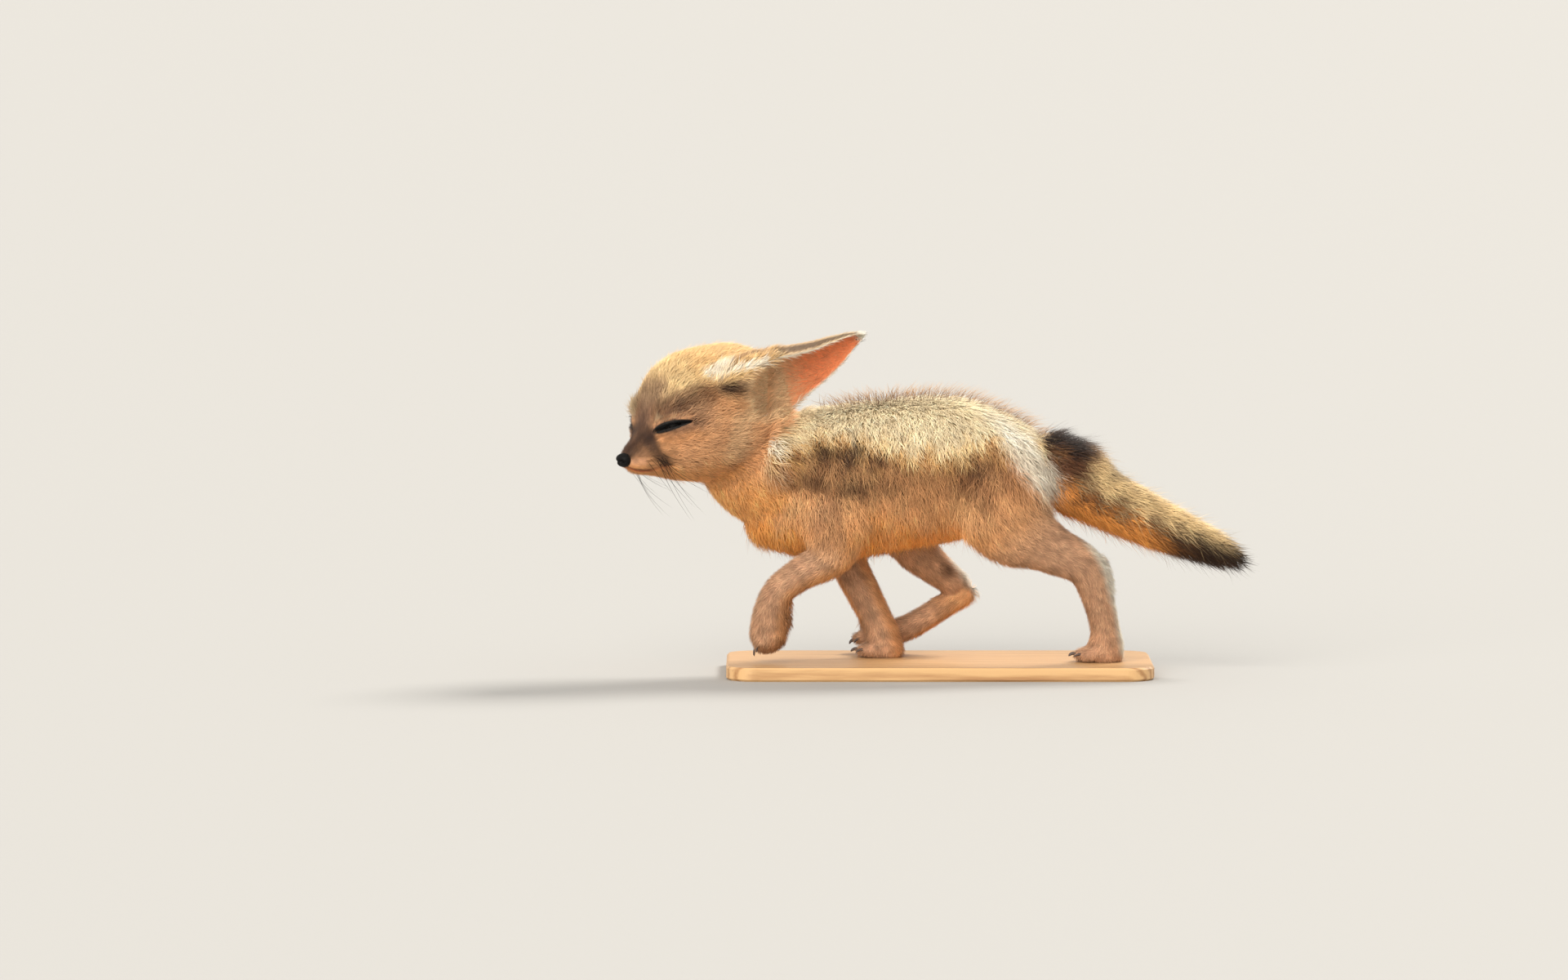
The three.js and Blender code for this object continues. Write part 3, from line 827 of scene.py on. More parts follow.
def distance_from(places: Array, line: Rows) -> Array:
    """The distance of each place from a line through points, or from a single point."""
    points = np.array(line, float)
    best = np.linalg.norm(places - points[0], axis=1)
    for start, end in zip(points[:-1], points[1:]):
        run = end - start
        share = np.clip((places - start) @ run / (run @ run), 0.0, 1.0)
        near = np.linalg.norm(places - start - share[:, None] * run, axis=1)
        best = np.minimum(best, near)
    return best


@dataclass(frozen=True)
class Mark:
    """A soft mark of one colour along a line. A mirrored one is on both sides."""

    tint: Tint
    strength: float
    radius: float
    line: Rows
    mirrored: bool = True

    def share(self, places: Array) -> Array:
        """How much of the mark's colour each place takes."""
        if self.mirrored:
            places = places * (1.0, 0.0, 1.0) + np.abs(places) * (0.0, 1.0, 0.0)
        far = distance_from(places, self.line)
        return self.strength * ramp(far, self.radius, 0.3 * self.radius)


FACE_MARKS = (
    Mark(Tint.GREY_BROWN, 0.5, 8.0, ((62, 9, -6), (54, 20, -3), (44, 28, -1))),
    Mark(Tint.BROWN, 0.7, 9.0, ((56, 8, 10), (52, 17, 12), (41, 24, 16), (28, 28, 17))),
    Mark(Tint.GREY_BROWN, 0.8, 12.0, ((57, 0, 8), (56, 0, 15), (50, 6, 22))),
    Mark(Tint.UMBER, 0.3, 7.0, ((54, 14, 12), (44, 23, 15), (36, 27, 17))),
    Mark(Tint.CREAM, 0.3, 3.5, ((56, 13, 7), (47, 22, 8))),
    Mark(Tint.BROWN, 0.55, 2.0, ((42, 28, 2.6), (34, 31, 2))),
    Mark(Tint.BROWN, 0.6, 7.0, ((30, 28, 19), (23, 34, 19))),
    Mark(Tint.CREAM, 0.3, 10.0, ((12, 32, -2), (14, 32.5, -10), (18, 30, -20))),
    Mark(Tint.BUFF, 0.6, 7.0, ((58, 17, -6), (50, 24, -7), (40, 28.5, -6))),
    # A dark line beside the ear's white front rim: painted shadow between the rim's hair and the ear's
    # back.
    Mark(Tint.GREY_BROWN, 0.8, 4.6, ((11, 31.4, 33.9), (0.5, 34, 35.5), (-15, 37, 37.4))),
    # The ear's white front rim: partly white hair, partly painted rim light.
    Mark(Tint.SNOW, 0.95, 3.4, ((22, 29, 28), (20, 34.4, 28.6), (14.5, 38, 30), (8.4, 41, 30.7))),
    Mark(Tint.SNOW, 0.95, 3.0, ((8.4, 41, 30.7), (0.8, 42.7, 31.7), (-6, 42.5, 32.8), (-14, 41.5, 34))),
    Mark(Tint.UMBER, 1.0, 5.8, ((22, 36.5, 20.4), (17.8, 39.5, 18.6), (14.6, 40.5, 19.2))),
    Mark(Tint.BROWN, 0.55, 5.0, ((14, 38, 17), (4, 36, 13))),
    Mark(Tint.GREY_BROWN, 0.9, 11.0, ((76, 0, -9), (66, 0, -5), (59, 0, 3))),
    Mark(Tint.UMBER, 0.65, 9.0, ((75, 0, -9), (66, 0, -4), (61, 0, 1))),
    Mark(Tint.GREY_BROWN, 0.55, 6.0, ((73, 7, -15), (66, 10, -15))),
    Mark(Tint.UMBER, 0.85, 7.5, ((61, 9, -3), (67.5, 6.5, -9), (73, 4.5, -12))),
    Mark(Tint.UMBER, 0.9, 7.0, ((62, 11, -6), (60, 14, -13), (56, 17, -19))),
    Mark(Tint.ROSE, 0.6, 3.4, ((74, 5, -19), (67, 10, -19))),
    Mark(Tint.SOOT, 0.5, 0.9, ((69, 9, -15), (61, 14.5, -16), (55, 18.5, -17))),
    Mark(Tint.SOOT, 0.5, 0.9, ((68, 9, -18), (61, 13.5, -19), (55, 18, -20.5))),
    Mark(Tint.SOOT, 0.35, 0.8, ((68, 8.5, -20.8), (61, 12, -21.8), (56, 15.5, -22))),
    Mark(Tint.LIP, 0.85, 2.6, ((76, 1, -23), (69, 6, -25), (62, 9, -26), (54, 17, -23.5))),
    Mark(Tint.SOOT, 0.9, 1.3, ((76, 1, -22.6), (69, 6, -24.1), (62, 9, -25), (53, 17.6, -22.4))),
)
MOUTH = ((77, 0, -22.4), (69, 6, -24.1), (62, 9, -25), (53, 17.6, -22.4))
BODY_MARKS = (
    # White at the rump: partly white hair, partly painted rim light.
    Mark(Tint.SNOW, 0.9, 17.0, ((36, 20, 148), (47, 26, 131), (57, 24, 108), (62, 12, 98))),
    Mark(Tint.BROWN, 0.35, 9.0, ((8, 33, 110), (18, 33, 102), (28, 31, 92))),
    Mark(Tint.BROWN, 0.2, 12.0, ((26, 32, 112), (36, 28, 100))),
    Mark(Tint.GREY_BROWN, 0.45, 12.0, ((-66, 34, 88), (-64, 34, 74))),
    # White at the collar's front edge: partly pale hair, partly a painted highlight.
    Mark(Tint.SNOW, 0.8, 6.0, ((-96, 20, 145), (-95, 27, 137), (-94, 30, 128), (-92, 32, 120))),
    # Umber spots in the flank's band: partly dark hair, partly painted shade in the gaps between locks.
    Mark(Tint.UMBER, 0.95, 5.6, ((-70, 31, 120), (-65, 31, 119))),
    Mark(Tint.UMBER, 1.0, 6.4, ((-48, 32.5, 121), (-53, 32, 116))),
    Mark(Tint.UMBER, 0.85, 4.8, ((-58, 32, 122),)),
    Mark(Tint.UMBER, 0.8, 5.0, ((-37, 33, 116), (-33, 33, 117))),
    Mark(Tint.UMBER, 0.7, 4.6, ((-24, 33, 112),)),
    Mark(Tint.UMBER, 0.65, 6.0, ((-76, 30, 105), (-66, 31, 101))),
    Mark(Tint.UMBER, 0.7, 6.4, ((-57, 31, 99), (-46, 32, 101))),
    Mark(Tint.UMBER, 0.6, 5.6, ((18, 33, 108), (27, 32, 110))),
    # Orange on the far thigh: partly painted bounce light from sand.
    Mark(Tint.ORANGE_AND_SAND_BOUNCE, 0.8, 13.0, ((10, 22, 94), (-14, 30, 78)), False),
    # White along the back of each hind leg: painted rim light.
    Mark(Tint.SNOW, 1.0, 10.5, ((91, -17, 72), (101, -17, 50), (109, -17, 26), (110, -17, 6)), False),
    Mark(Tint.SNOW, 1.0, 12.0, ((16, 36, 56), (25, 36, 40)), False),
    Mark(Tint.UMBER, 0.7, 6.0, ((6.6, 28, 49),), False),
    # Orange on the far hind foot: partly painted bounce light from sand.
    Mark(Tint.ORANGE_AND_SAND_BOUNCE, 0.6, 7.0, ((-12, 38, 10), (18, 38, 28)), False),
    Mark(Tint.BROWN, 0.5, 9.0, ((-90, -22, 18), (-97, -22, 5)), False),
    # Orange on the forelegs: partly painted bounce light from sand.
    Mark(Tint.ORANGE_AND_SAND_BOUNCE, 0.5, 9.0, ((-84, -24, 34), (-58, -24, 58)), False),
    Mark(Tint.ORANGE_AND_SAND_BOUNCE, 0.5, 7.0, ((-62, 19, 50), (-46, 16, 22)), False),
)


@dataclass
class Pelt:
    """The ground colours of each kind of form, shared by the skin and the coat.

    Each method gives the colours of the roots and of the tips at places of the part's frame.
    """

    head: HeadPose
    patches: Ripples = field(default_factory=lambda: Ripples(16.0, 11))
    specks: Ripples = field(default_factory=lambda: Ripples(6.0, 12))

    def trunk(self, places: Array) -> Pair:
        """Cream above, a brown band along the flank, tan and orange below, partly painted light and
        shade.
        """
        x, _, z = places.T
        edge = np.interp(x, (-110, -70, -36, 0, 20, 36, 60), (120, 120, 116, 112, 115, 118, 112))
        bold = np.interp(x, (-96, -80, -40, -24, 0, 12, 30, 48), (0.6, 1, 1, 0.6, 0.5, 0.95, 0.8, 0))
        height = z - BASE_TOP + 3.5 * self.patches.at(places) + 1.5 * self.specks.at(places)
        above = height - edge
        band = ramp(above, -16 - 20 * bold, -9) * ramp(above, 6, -3) * bold
        mottle = self.specks.at(places * 1.2 + 40.0) + 0.5 * self.patches.at(places - 15.0)
        mottle = ramp(mottle, -0.9, 0.7)
        # Umber flecks in the band: partly the band's own dark hair, partly painted shade in the gaps
        # between locks.
        dapple_and_gap_shade = ramp(self.specks.at(places * 1.5 - 70.0), 0.2, 0.6) * ramp(above, -26, -10)
        dapple_and_gap_shade = dapple_and_gap_shade * ramp(above, 7, 0) * bold
        fleck = ramp(self.specks.at(places * (0.8, 0.8, 1.9) + 33.0), 0.3, 1.0)
        collar = ramp(x, -92, -99) * ramp(height, 108, 118)
        # The light top and the darker tan and orange below are partly painted light: light falling from
        # above, shade lower down and orange bounce light from sand.
        roots = painted(
            Tint.ORANGE_AND_SAND_BOUNCE.linear,
            (Tint.TAN, ramp(height, 70, 88)),
            (Tint.BUFF, 0.6 * ramp(above, -26, -14)),
            (Tint.GOLD, ramp(above, -5, 4)),
            (Tint.STRAW, ramp(above, 0, 9)),
            (Tint.CREAM, ramp(above, 6, 18) * ramp(x, -105, -60)),
            (Tint.BROWN, (0.1 + 0.65 * mottle) * band),
            (Tint.UMBER, 0.9 * dapple_and_gap_shade),
            (Tint.STRAW, 0.55 * fleck * ramp(above, -14, -24)),
        )
        return roots, painted(
            roots,
            (Tint.SNOW, 0.35 * ramp(above, 2, 14)),
            (Tint.STRAW, 0.4 * band * (1.0 - mottle)),
            # White tips at the collar's front edge: partly pale hair, partly a painted highlight on the
            # wool's edge.
            (Tint.SNOW, 0.25 * collar),
        )

    def nape(self, places: Array) -> Pair:
        """Straw above, and warmer down to the throat, partly painted bounce light from sand."""
        height = places[:, 2] - BASE_TOP + 2.0 * self.patches.at(places)
        roots = painted(
            Tint.ORANGE_AND_SAND_BOUNCE.linear,
            (Tint.TAN, ramp(height, 92, 118)),
            (Tint.STRAW, ramp(height, 130, 146)),
        )
        return roots, painted(roots, (Tint.CREAM, 0.25))

    def leg(self, places: Array, turn: Array, share: Array, hind: bool) -> Pair:
        """Rosy brown, with orange at the back of a foreleg that is partly painted warm light."""
        rear = ramp(np.sin(2.0 * math.pi * turn), 0.1, 0.8)
        mottle = ramp(self.specks.at(places * 1.7), -0.5, 1.0)
        roots = painted(
            Tint.TAN.linear,
            (Tint.ROSE, ramp(share, 0.15, 0.45)),
            (Tint.GREY_BROWN, (0.55 - 0.2 * hind) * mottle * ramp(share, 0.1, 0.3)),
            # Orange at the back of a foreleg: partly painted warm bounce light.
            (Tint.ORANGE_AND_SAND_BOUNCE, 0.45 * rear * (not hind)),
        )
        pale = 0.1 + 0.25 * ramp(self.specks.at(places * 2.6), 0.0, 1.0)
        return roots, painted(roots, (Tint.CREAM, pale))

    def brush(self, places: Array, turn: Array, share: Array) -> Pair:
        """A black patch near the root, cream above, orange below that is partly painted light, and a
        black tip.
        """
        level = np.sin(2.0 * math.pi * turn) + 0.2 * self.specks.at(places)
        spread = share + 0.02 * self.specks.at(places + 9.0)
        dark = ramp(level, -0.35, -0.05) * ramp(level, 0.4, 0.05)
        top = ramp(level, 0.0, 0.35) * ramp(spread, 0.17, 0.27)
        start = ramp(spread, 0.07, 0.03) * ramp(level, -0.5, 0.1) * ramp(level, 0.7, 0.4)
        black = ramp(level, 0.4, 0.65) * ramp(spread, 0.0, 0.04) * ramp(spread, 0.21, 0.15)
        crest = 0.7 * ramp(level, 0.8, 0.95) * ramp(spread, 0.2, 0.26) * ramp(spread, 0.42, 0.34)
        end = ramp(spread, 0.56, 0.74) * ramp(level, 1.1 - 0.9 * ramp(spread, 0.88, 0.68), 0.0)
        soot = np.clip(black + crest + end + ramp(spread, 0.86, 0.95), 0.0, 1.0)
        roots = painted(
            # The orange base below: partly painted bounce light from sand and light through the fur.
            Tint.ORANGE_AND_SAND_BOUNCE.linear,
            (Tint.BROWN, ramp(level, -0.45, -0.1)),
            (Tint.UMBER, 0.7 * dark),
            (Tint.STRAW, top),
            (Tint.GOLD, 0.7 * start),
            (Tint.SOOT, 0.95 * soot),
        )
        return roots, painted(
            roots,
            (Tint.CREAM, 0.35 * top * (1.0 - soot)),
            (Tint.UMBER, 0.5 * ramp(self.specks.at(places + 30.0), 0.2, 0.9)),
        )

    def face(self, places: Array) -> Pair:
        """Straw on the crown, greyer on the brow and warm on the cheeks."""
        a, b, c = self.head.within(places).T
        streaks = 0.5 + 0.5 * self.specks.at(np.column_stack([0.7 * a, 2.4 * b, 2.4 * c]))
        brow = ramp(a, 18, 38) * ramp(c, -6, 2) * ramp(c - 0.25 * a, 14, 3)
        cheek = ramp(c, 6, -2) * ramp(a, 56, 46)
        roots = painted(
            Tint.TAN.linear,
            (Tint.STRAW, ramp(c + 0.1 * a, 14, 26)),
            (Tint.GOLD, 0.5 * ramp(c, 20, 32) * ramp(a, 45, 25)),
            (Tint.GREY_BROWN, (0.45 + 0.4 * np.clip(streaks, 0, 1)) * brow),
            # Orange under the chin and jaw: partly painted bounce light from sand.
            (Tint.ORANGE_AND_SAND_BOUNCE, 0.8 * ramp(c, -19, -31)),
            (Tint.ROSE, 0.5 * ramp(streaks, 0.4, 1.0) * cheek),
            (Tint.BUFF, 0.4 * ramp(streaks, 0.5, 1.1) * (1.0 - brow)),
        )
        pale = 0.1 + 0.25 * ramp(a, 25, 45) * ramp(c, 4, 20) + 0.2 * ramp(streaks, 0.45, 0.0)
        return roots, painted(roots, (Tint.CREAM, pale))


@dataclass
class Skin:
    """The one skin of the fox under its coat, from the head to the feet and the tail's tip."""

    plan: BodyPlan
    voxel: float = 1.25
    smoothing: int = 6
    fine_at_eye: float = 14.0
    fine_at_muzzle: float = 13.0
    fill_rounds: int = 60
    fill_most: float = 5.0
    toe_gap: float = 1.4
    collar_rise: float = 3.0
    mouth_depth: float = 1.3
    mouth_half: float = 0.75
    mottle: Ripples = field(default_factory=lambda: Ripples(4.5, 13))
    toe_radii: Triple = (6.0, 2.9, 3.6)
    toe_spacing: float = 4.9
    toe_set_back: float = 3.0
    mark_depth: float = 0.7
    comb_rounds: int = 30
    colour_rounds: int = 3
    growth_rounds: int = 12
    feet: tuple[tuple[Triple, float], ...] = (
        ((-104.5, -21.5, 11.8), 58.0),
        ((-43.0, 14.0, 4.2), 0.0),
        ((84.5, -17.0, 4.2), 0.0),
        ((-44.5, 38.0, 9.5), 20.0),
    )
    face_bulges: tuple[Bulge, ...] = (
        Bulge((51, 14, 10), 8.0, 1.0), Bulge((62, 9, -4), 6.0, -1.2), Bulge((34, 28, -16), 15.0, 1.4),
        Bulge((67, 8, -21), 5.5, 0.9), Bulge((20, 14, 40), 20.0, 0.8), Bulge((0, 30, -24), 14.0, 1.0),
        Bulge((14, 27, 24), 12.0, 4.0), Bulge((14, 0, 42), 24.0, -1.8), Bulge((63, 10, -28), 4.0, 0.6),
    )
    body_bulges: tuple[Bulge, ...] = (
        Bulge((-78, -33, 118), 15.0, 1.6), Bulge((-52, -34, 84), 10.0, 1.4),
        Bulge((40, -34, 100), 16.0, 1.6), Bulge((14, -33, 92), 12.0, -1.2),
        Bulge((-20, -34, 88), 16.0, -0.8), Bulge((70, -27, 60), 9.0, -0.8),
        Bulge((-94, 0, 62), 17.0, -4.0),
    )

    def __post_init__(self) -> None:
        """Lays out the forms and the eyes."""
        self.forms = self.plan.forms()
        self.head = self.plan.head_pose
        self.skull = next(form for form in self.forms if form.kind is Kind.HEAD)
        self.eyes = tuple(Eye(side, self.head, self.skull) for side in (1, -1))
        self.pelt = Pelt(self.head)
        self.ears = Ears(self.head)

    def toe_frames(self) -> list[Array]:
        """The frames of the sixteen toes, forward along x."""
        made = []
        for at, dip in self.feet:
            pitch = np.array(Matrix.Rotation(math.radians(-dip), 4, "Y"))
            for step in (-1.5, -0.5, 0.5, 1.5):
                back = self.toe_set_back if abs(step) > 1 else 0.0
                place = pitch.copy()
                offset = pitch[:3, :3] @ np.array((back, step * self.toe_spacing, 0.0))
                place[:3, 3] = np.array(at) + offset + (0.0, 0.0, BASE_TOP)
                made.append(place)
        return made

    def rough_mesh(self) -> Mesh:
        """All the forms and the toes, fused and smoothed."""
        bm = bmesh.new()
        for form in (*self.forms, self.ears.root(0), self.ears.root(1)):
            form.loft(bm)
        for place in self.toe_frames():
            stretch = Matrix.Diagonal((*self.toe_radii, 1.0))
            bmesh.ops.create_icosphere(
                bm, subdivisions=3, radius=1.0, matrix=Matrix(place.tolist()) @ stretch
            )
        mesh = mesh_from(bm, "rough_skin")
        hollows = [self.hollow_object(number) for number in range(2)]

        def fuse(carrier: Object) -> None:
            """Makes one closed skin of all that overlaps."""
            remesh = carrier.modifiers.new("fuse", "REMESH")
            remesh.mode = "VOXEL"
            remesh.voxel_size = self.voxel
            remesh.use_smooth_shade = True

        def add(carrier: Object) -> None:
            """Fuses the skin, carves out the ears' hollows and smooths it."""
            fuse(carrier)
            for hollow in hollows:
                carve = carrier.modifiers.new("carve", "BOOLEAN")
                carve.operation = "DIFFERENCE"
                carve.solver = "MANIFOLD"
                carve.object = hollow
            fuse(carrier)
            smooth = carrier.modifiers.new("soften", "SMOOTH")
            smooth.factor = 0.5
            smooth.iterations = self.smoothing
        made = evaluated(mesh, add)
        for hollow in hollows:
            bpy.data.meshes.remove(hollow.data)
        return made

    def hollow_object(self, number: int) -> Object:
        """The room inside one ear as an object, to be carved out of the head."""
        bm = bmesh.new()
        self.ears.hollow(number).loft(bm)
        return placed("hollow", mesh_from(bm, "hollow"))

    def refine(self, bm: bmesh.types.BMesh) -> None:
        """Makes the mesh finer round the eyes and on the muzzle."""
        spots = [(Vector(eye.frame[:3, 3]), self.fine_at_eye, 2) for eye in self.eyes]
        spots.append((Vector(self.head.place(70, 0, -18)), self.fine_at_muzzle, 1))
        for centre, radius, cuts in spots:
            faces = [f for f in bm.faces if (f.calc_center_median() - centre).length < radius]
            edges = list(dict.fromkeys(edge for face in faces for edge in face.edges))
            bmesh.ops.subdivide_edges(bm, edges=edges, cuts=cuts, use_grid_fill=True)
            near = [v for v in bm.verts if (v.co - centre).length < radius - 1.0]
            for _ in range(3):
                bmesh.ops.smooth_vert(
                    bm, verts=near, factor=0.5, use_axis_x=True, use_axis_y=True, use_axis_z=True
                )

    def sculpt(self, places: Array, normals: Array) -> Array:
        """Moves the skin for muscles, cheeks, lids and the mouth, and flattens the soles."""
        local = self.head.within(places)
        in_head = ramp(local[:, 0], -30, -16) * (np.linalg.norm(local, axis=1) < 100)
        mirrored = np.column_stack([local[:, 0], np.abs(local[:, 1]), local[:, 2]])
        lift = sum(bulge.lift(mirrored) for bulge in self.face_bulges) * in_head
        ground = places - (0.0, 0.0, BASE_TOP)
        lift = lift + sum(bulge.lift(ground) for bulge in self.body_bulges)
        for eye in self.eyes:
            lift = lift + eye.lift(places)
        lift = lift - self.toe_gap * self.toe_gaps(places)
        x, _, z = ground.T
        collar = ramp(x, -103, -98) * ramp(x, -66, -88) * ramp(z, 104, 116)
        lift = lift + self.collar_rise * collar
        mouth = distance_from(mirrored, MOUTH)
        lift = lift - self.mouth_depth * np.exp(-((mouth / self.mouth_half) ** 2)) * in_head
        made = places + normals * lift[:, None]
        made[:, 2] = np.maximum(made[:, 2], BASE_TOP + 0.15)
        return made

    def mesh(self) -> Mesh:
        """The finished skin, in millimetres."""
        mesh = self.rough_mesh()
        bm = bmesh.new()
        bm.from_mesh(mesh)
        self.refine(bm)
        bm.to_mesh(mesh)
        bm.free()
        self.fill_creases(mesh)
        places, normals, _, _ = read_surface(mesh)
        mesh.vertices.foreach_set("co", self.sculpt(places, normals).ravel())
        mesh.update()
        return mesh

    def fill_creases(self, mesh: Mesh) -> None:
        """Fills the creases where the neck, the legs and the tail leave the body."""
        ground = Ground.bare(mesh)
        eased = ground.soften(ground.places, self.fill_rounds)
        fill = np.sum((eased - ground.places) * ground.normals, axis=1)
        fill = self.fill_most * np.tanh(np.maximum(fill, 0.0) * 2.2 / self.fill_most)
        local = self.head.within(ground.places)
        muzzle = ramp(local[:, 0], 30, 45) * (np.abs(local[:, 1]) < 45)
        fill *= (1.0 - muzzle) * ramp(ground.places[:, 2], BASE_TOP + 40, BASE_TOP + 55)
        for number in range(2):
            path = Curve(np.array(self.ears.rows(number, 0.0, 1.0))[:, :3])
            line = path.at(np.linspace(0.24, 1.0, 40))
            far = np.linalg.norm(ground.places[:, None] - line[None], axis=2).min(axis=1)
            fill *= ramp(far, 16.0, 25.0)
        fill = ground.soften(fill, 4)
        mesh.vertices.foreach_set("co", (ground.places + ground.normals * fill[:, None]).ravel())
        mesh.update()

    def grown(self, mesh: Mesh) -> Ground:
        """What grows where on the skin.

        Args:
            mesh: The finished skin.

        Returns:
            The ground of the coat.
        """
        ground = Ground.bare(mesh)
        places, normals = ground.places, ground.normals
        owner, turn, share = locate(places, self.forms)
        self.kinds = np.array([form.kind.value for form in self.forms])[owner]
        self.owner = owner
        for number, form in enumerate(self.forms):
            here = owner == number
            if not here.any():
                continue
            along, _ = form.directions(turn[here], share[here])
            down = across_plane(DOWN, normals[here])
            down = down / np.sqrt(np.maximum(np.linalg.norm(down, axis=1), 0.2))[:, None]
            ground.comb[here] = form.comb * along + form.hair.droop * down
            ground.ease(form.hair, 1.0, here)
            if form.kind in (Kind.FORELEG, Kind.HIND_LEG) and form.from_body:
                ground.ease(self.plan.wool, ramp(share[here], 0.42, 0.12), here)
            if form.kind is Kind.TORSO:
                height = places[here, 2] - BASE_TOP
                ground.gather[here] += 0.5 * ramp(height, 92, 102) * ramp(height, 132, 122)
            ground.unwrap[here] = form.on_tile(turn[here], share[here])
            reach = unit(ground.comb[here]) * (self.mark_depth * form.hair.length)
            roots, tips = self.colours(form, places[here] + reach, turn[here], share[here])
            ground.pelt[here] = roots
            ground.tips[here] = tips
        ground.comb = unit(across_plane(ground.soften(ground.comb, self.comb_rounds), normals))
        for name in ("pelt", "tips"):
            setattr(ground, name, ground.soften(getattr(ground, name), self.colour_rounds))
        for name in GROWTH:
            setattr(ground, name, ground.soften(getattr(ground, name), self.growth_rounds))
        self.touch_up(ground)
        return ground

    def colours(self, form: Form, places: Array, turn: Array, share: Array) -> Pair:
        """The colours of root and tip on one form."""
        if form.kind is Kind.TAIL:
            return self.pelt.brush(places, turn, share)
        if form.kind in (Kind.FORELEG, Kind.HIND_LEG):
            own = self.pelt.leg(places, turn, share, form.kind is Kind.HIND_LEG)
            if not form.from_body:
                return own
            body = self.pelt.trunk(places)
            down = ramp(share, 0.04, 0.3)
            return tuple(blend(first, second, down) for first, second in zip(body, own))
        if form.kind is Kind.NECK:
            return self.pelt.nape(places)
        if form.kind is Kind.HEAD:
            return self.pelt.face(places)
        return self.pelt.trunk(places)

    def collar(self, ground: Ground) -> None:
        """Carries the wool of the back forward over the neck, up to a clear edge."""
        x, _, z = ground.places.T
        wool = (self.kinds == Kind.NECK.value) * ramp(x, -103, -98)
        wool = wool * ramp(z - BASE_TOP, 102, 112)
        ground.lay(*self.pelt.trunk(ground.places), wool)
        ground.ease(self.plan.wool, wool)

    def toe_gaps(self, places: Array) -> Array:
        """How near each place is to a gap between two toes, from 0 to 1."""
        made = np.zeros(len(places))
        for number, place in enumerate(self.toe_frames()):
            if number % 4 == 3:
                continue
            x, y, z = ((places - place[:3, 3]) @ place[:3, :3]).T
            off = (y - 0.5 * self.toe_spacing) / 0.8
            gap = np.exp(-off * off) * ramp(x, 5.0, 1.0) * ramp(z, -3.5, -1.5) * ramp(z, 8.0, 5.0)
            made = np.maximum(made, gap)
        return made

    def touch_up(self, ground: Ground) -> None:
        """Sets the fine marks, and makes the coat short on the face and feet."""
        local = self.head.within(ground.places)
        head = self.kinds == Kind.HEAD.value
        muzzle = ramp(local[:, 0], 46, 64) * head
        ground.length *= 1.0 - 0.66 * muzzle
        ground.rise *= 1.0 - 0.62 * muzzle
        ground.width *= 1.0 - 0.45 * muzzle
        ground.density *= 1.0 + 1.6 * muzzle
        self.collar(ground)
        for number in range(2):
            self.ears.line(ground, number)
        above = ground.places - (0.0, 0.0, BASE_TOP)
        reach = ground.comb * (self.mark_depth * ground.length)[:, None]
        for mark in FACE_MARKS:
            ground.stain(mark.tint, mark.share(self.head.within(ground.places + reach)))
        for mark in BODY_MARKS:
            ground.stain(mark.tint, mark.share(above + reach) * ~head)
        # Umber in the gaps between the toes: painted shade in the creases.
        ground.stain(Tint.UMBER, 0.55 * self.toe_gaps(ground.places))
        uneven = 1.0 + 0.13 * self.mottle.at(ground.places) + 0.07 * self.mottle.at(above * 0.4)
        ground.pelt *= uneven[:, None]
        ground.tips *= uneven[:, None]
        for eye in self.eyes:
            ground.stain(Tint.JET, eye.darkness(ground.places))
            at_eye = eye.within(ground.places)
            bare = ramp(eye.slit(at_eye)[0] - 1.2, 0.0, 1.6)
            close = np.linalg.norm(at_eye, axis=1) < 11.0
            ground.density *= np.where(close, bare, 1.0)
            ground.length *= np.where(close, 0.45, 1.0)
        low = ramp(ground.places[:, 2] - BASE_TOP, 16, 6) * (ground.length < 6)
        ground.length *= 1.0 - 0.35 * low
        for wisp in HEAD_WISPS:
            wisp.apply(ground, local)
        for wisp in BODY_WISPS:
            wisp.apply(ground, above)


@dataclass(frozen=True)
class Wisp:
    """A line along which the coat is longer or stands up more, and may have its own colour."""

    line: Rows
    radius: float
    length: float
    rise: float
    tint: Tint | None = None
    strength: float = 0.8

    def apply(self, ground: Ground, places: Array) -> None:
        """Changes the coat of a ground along the line.

        Args:
            ground: The surface that is changed.
            places: The places of its vertices in the frame of the line.
        """
        far = distance_from(places, self.line)
        near = ramp(far, self.radius, 0.35 * self.radius)
        ground.length += near * (self.length - ground.length)
        ground.rise += near * (self.rise - ground.rise)
        if self.tint:
            ground.pelt = painted(ground.pelt, (self.tint, 0.8 * self.strength * near))
            ground.tips = painted(ground.tips, (self.tint, self.strength * near))


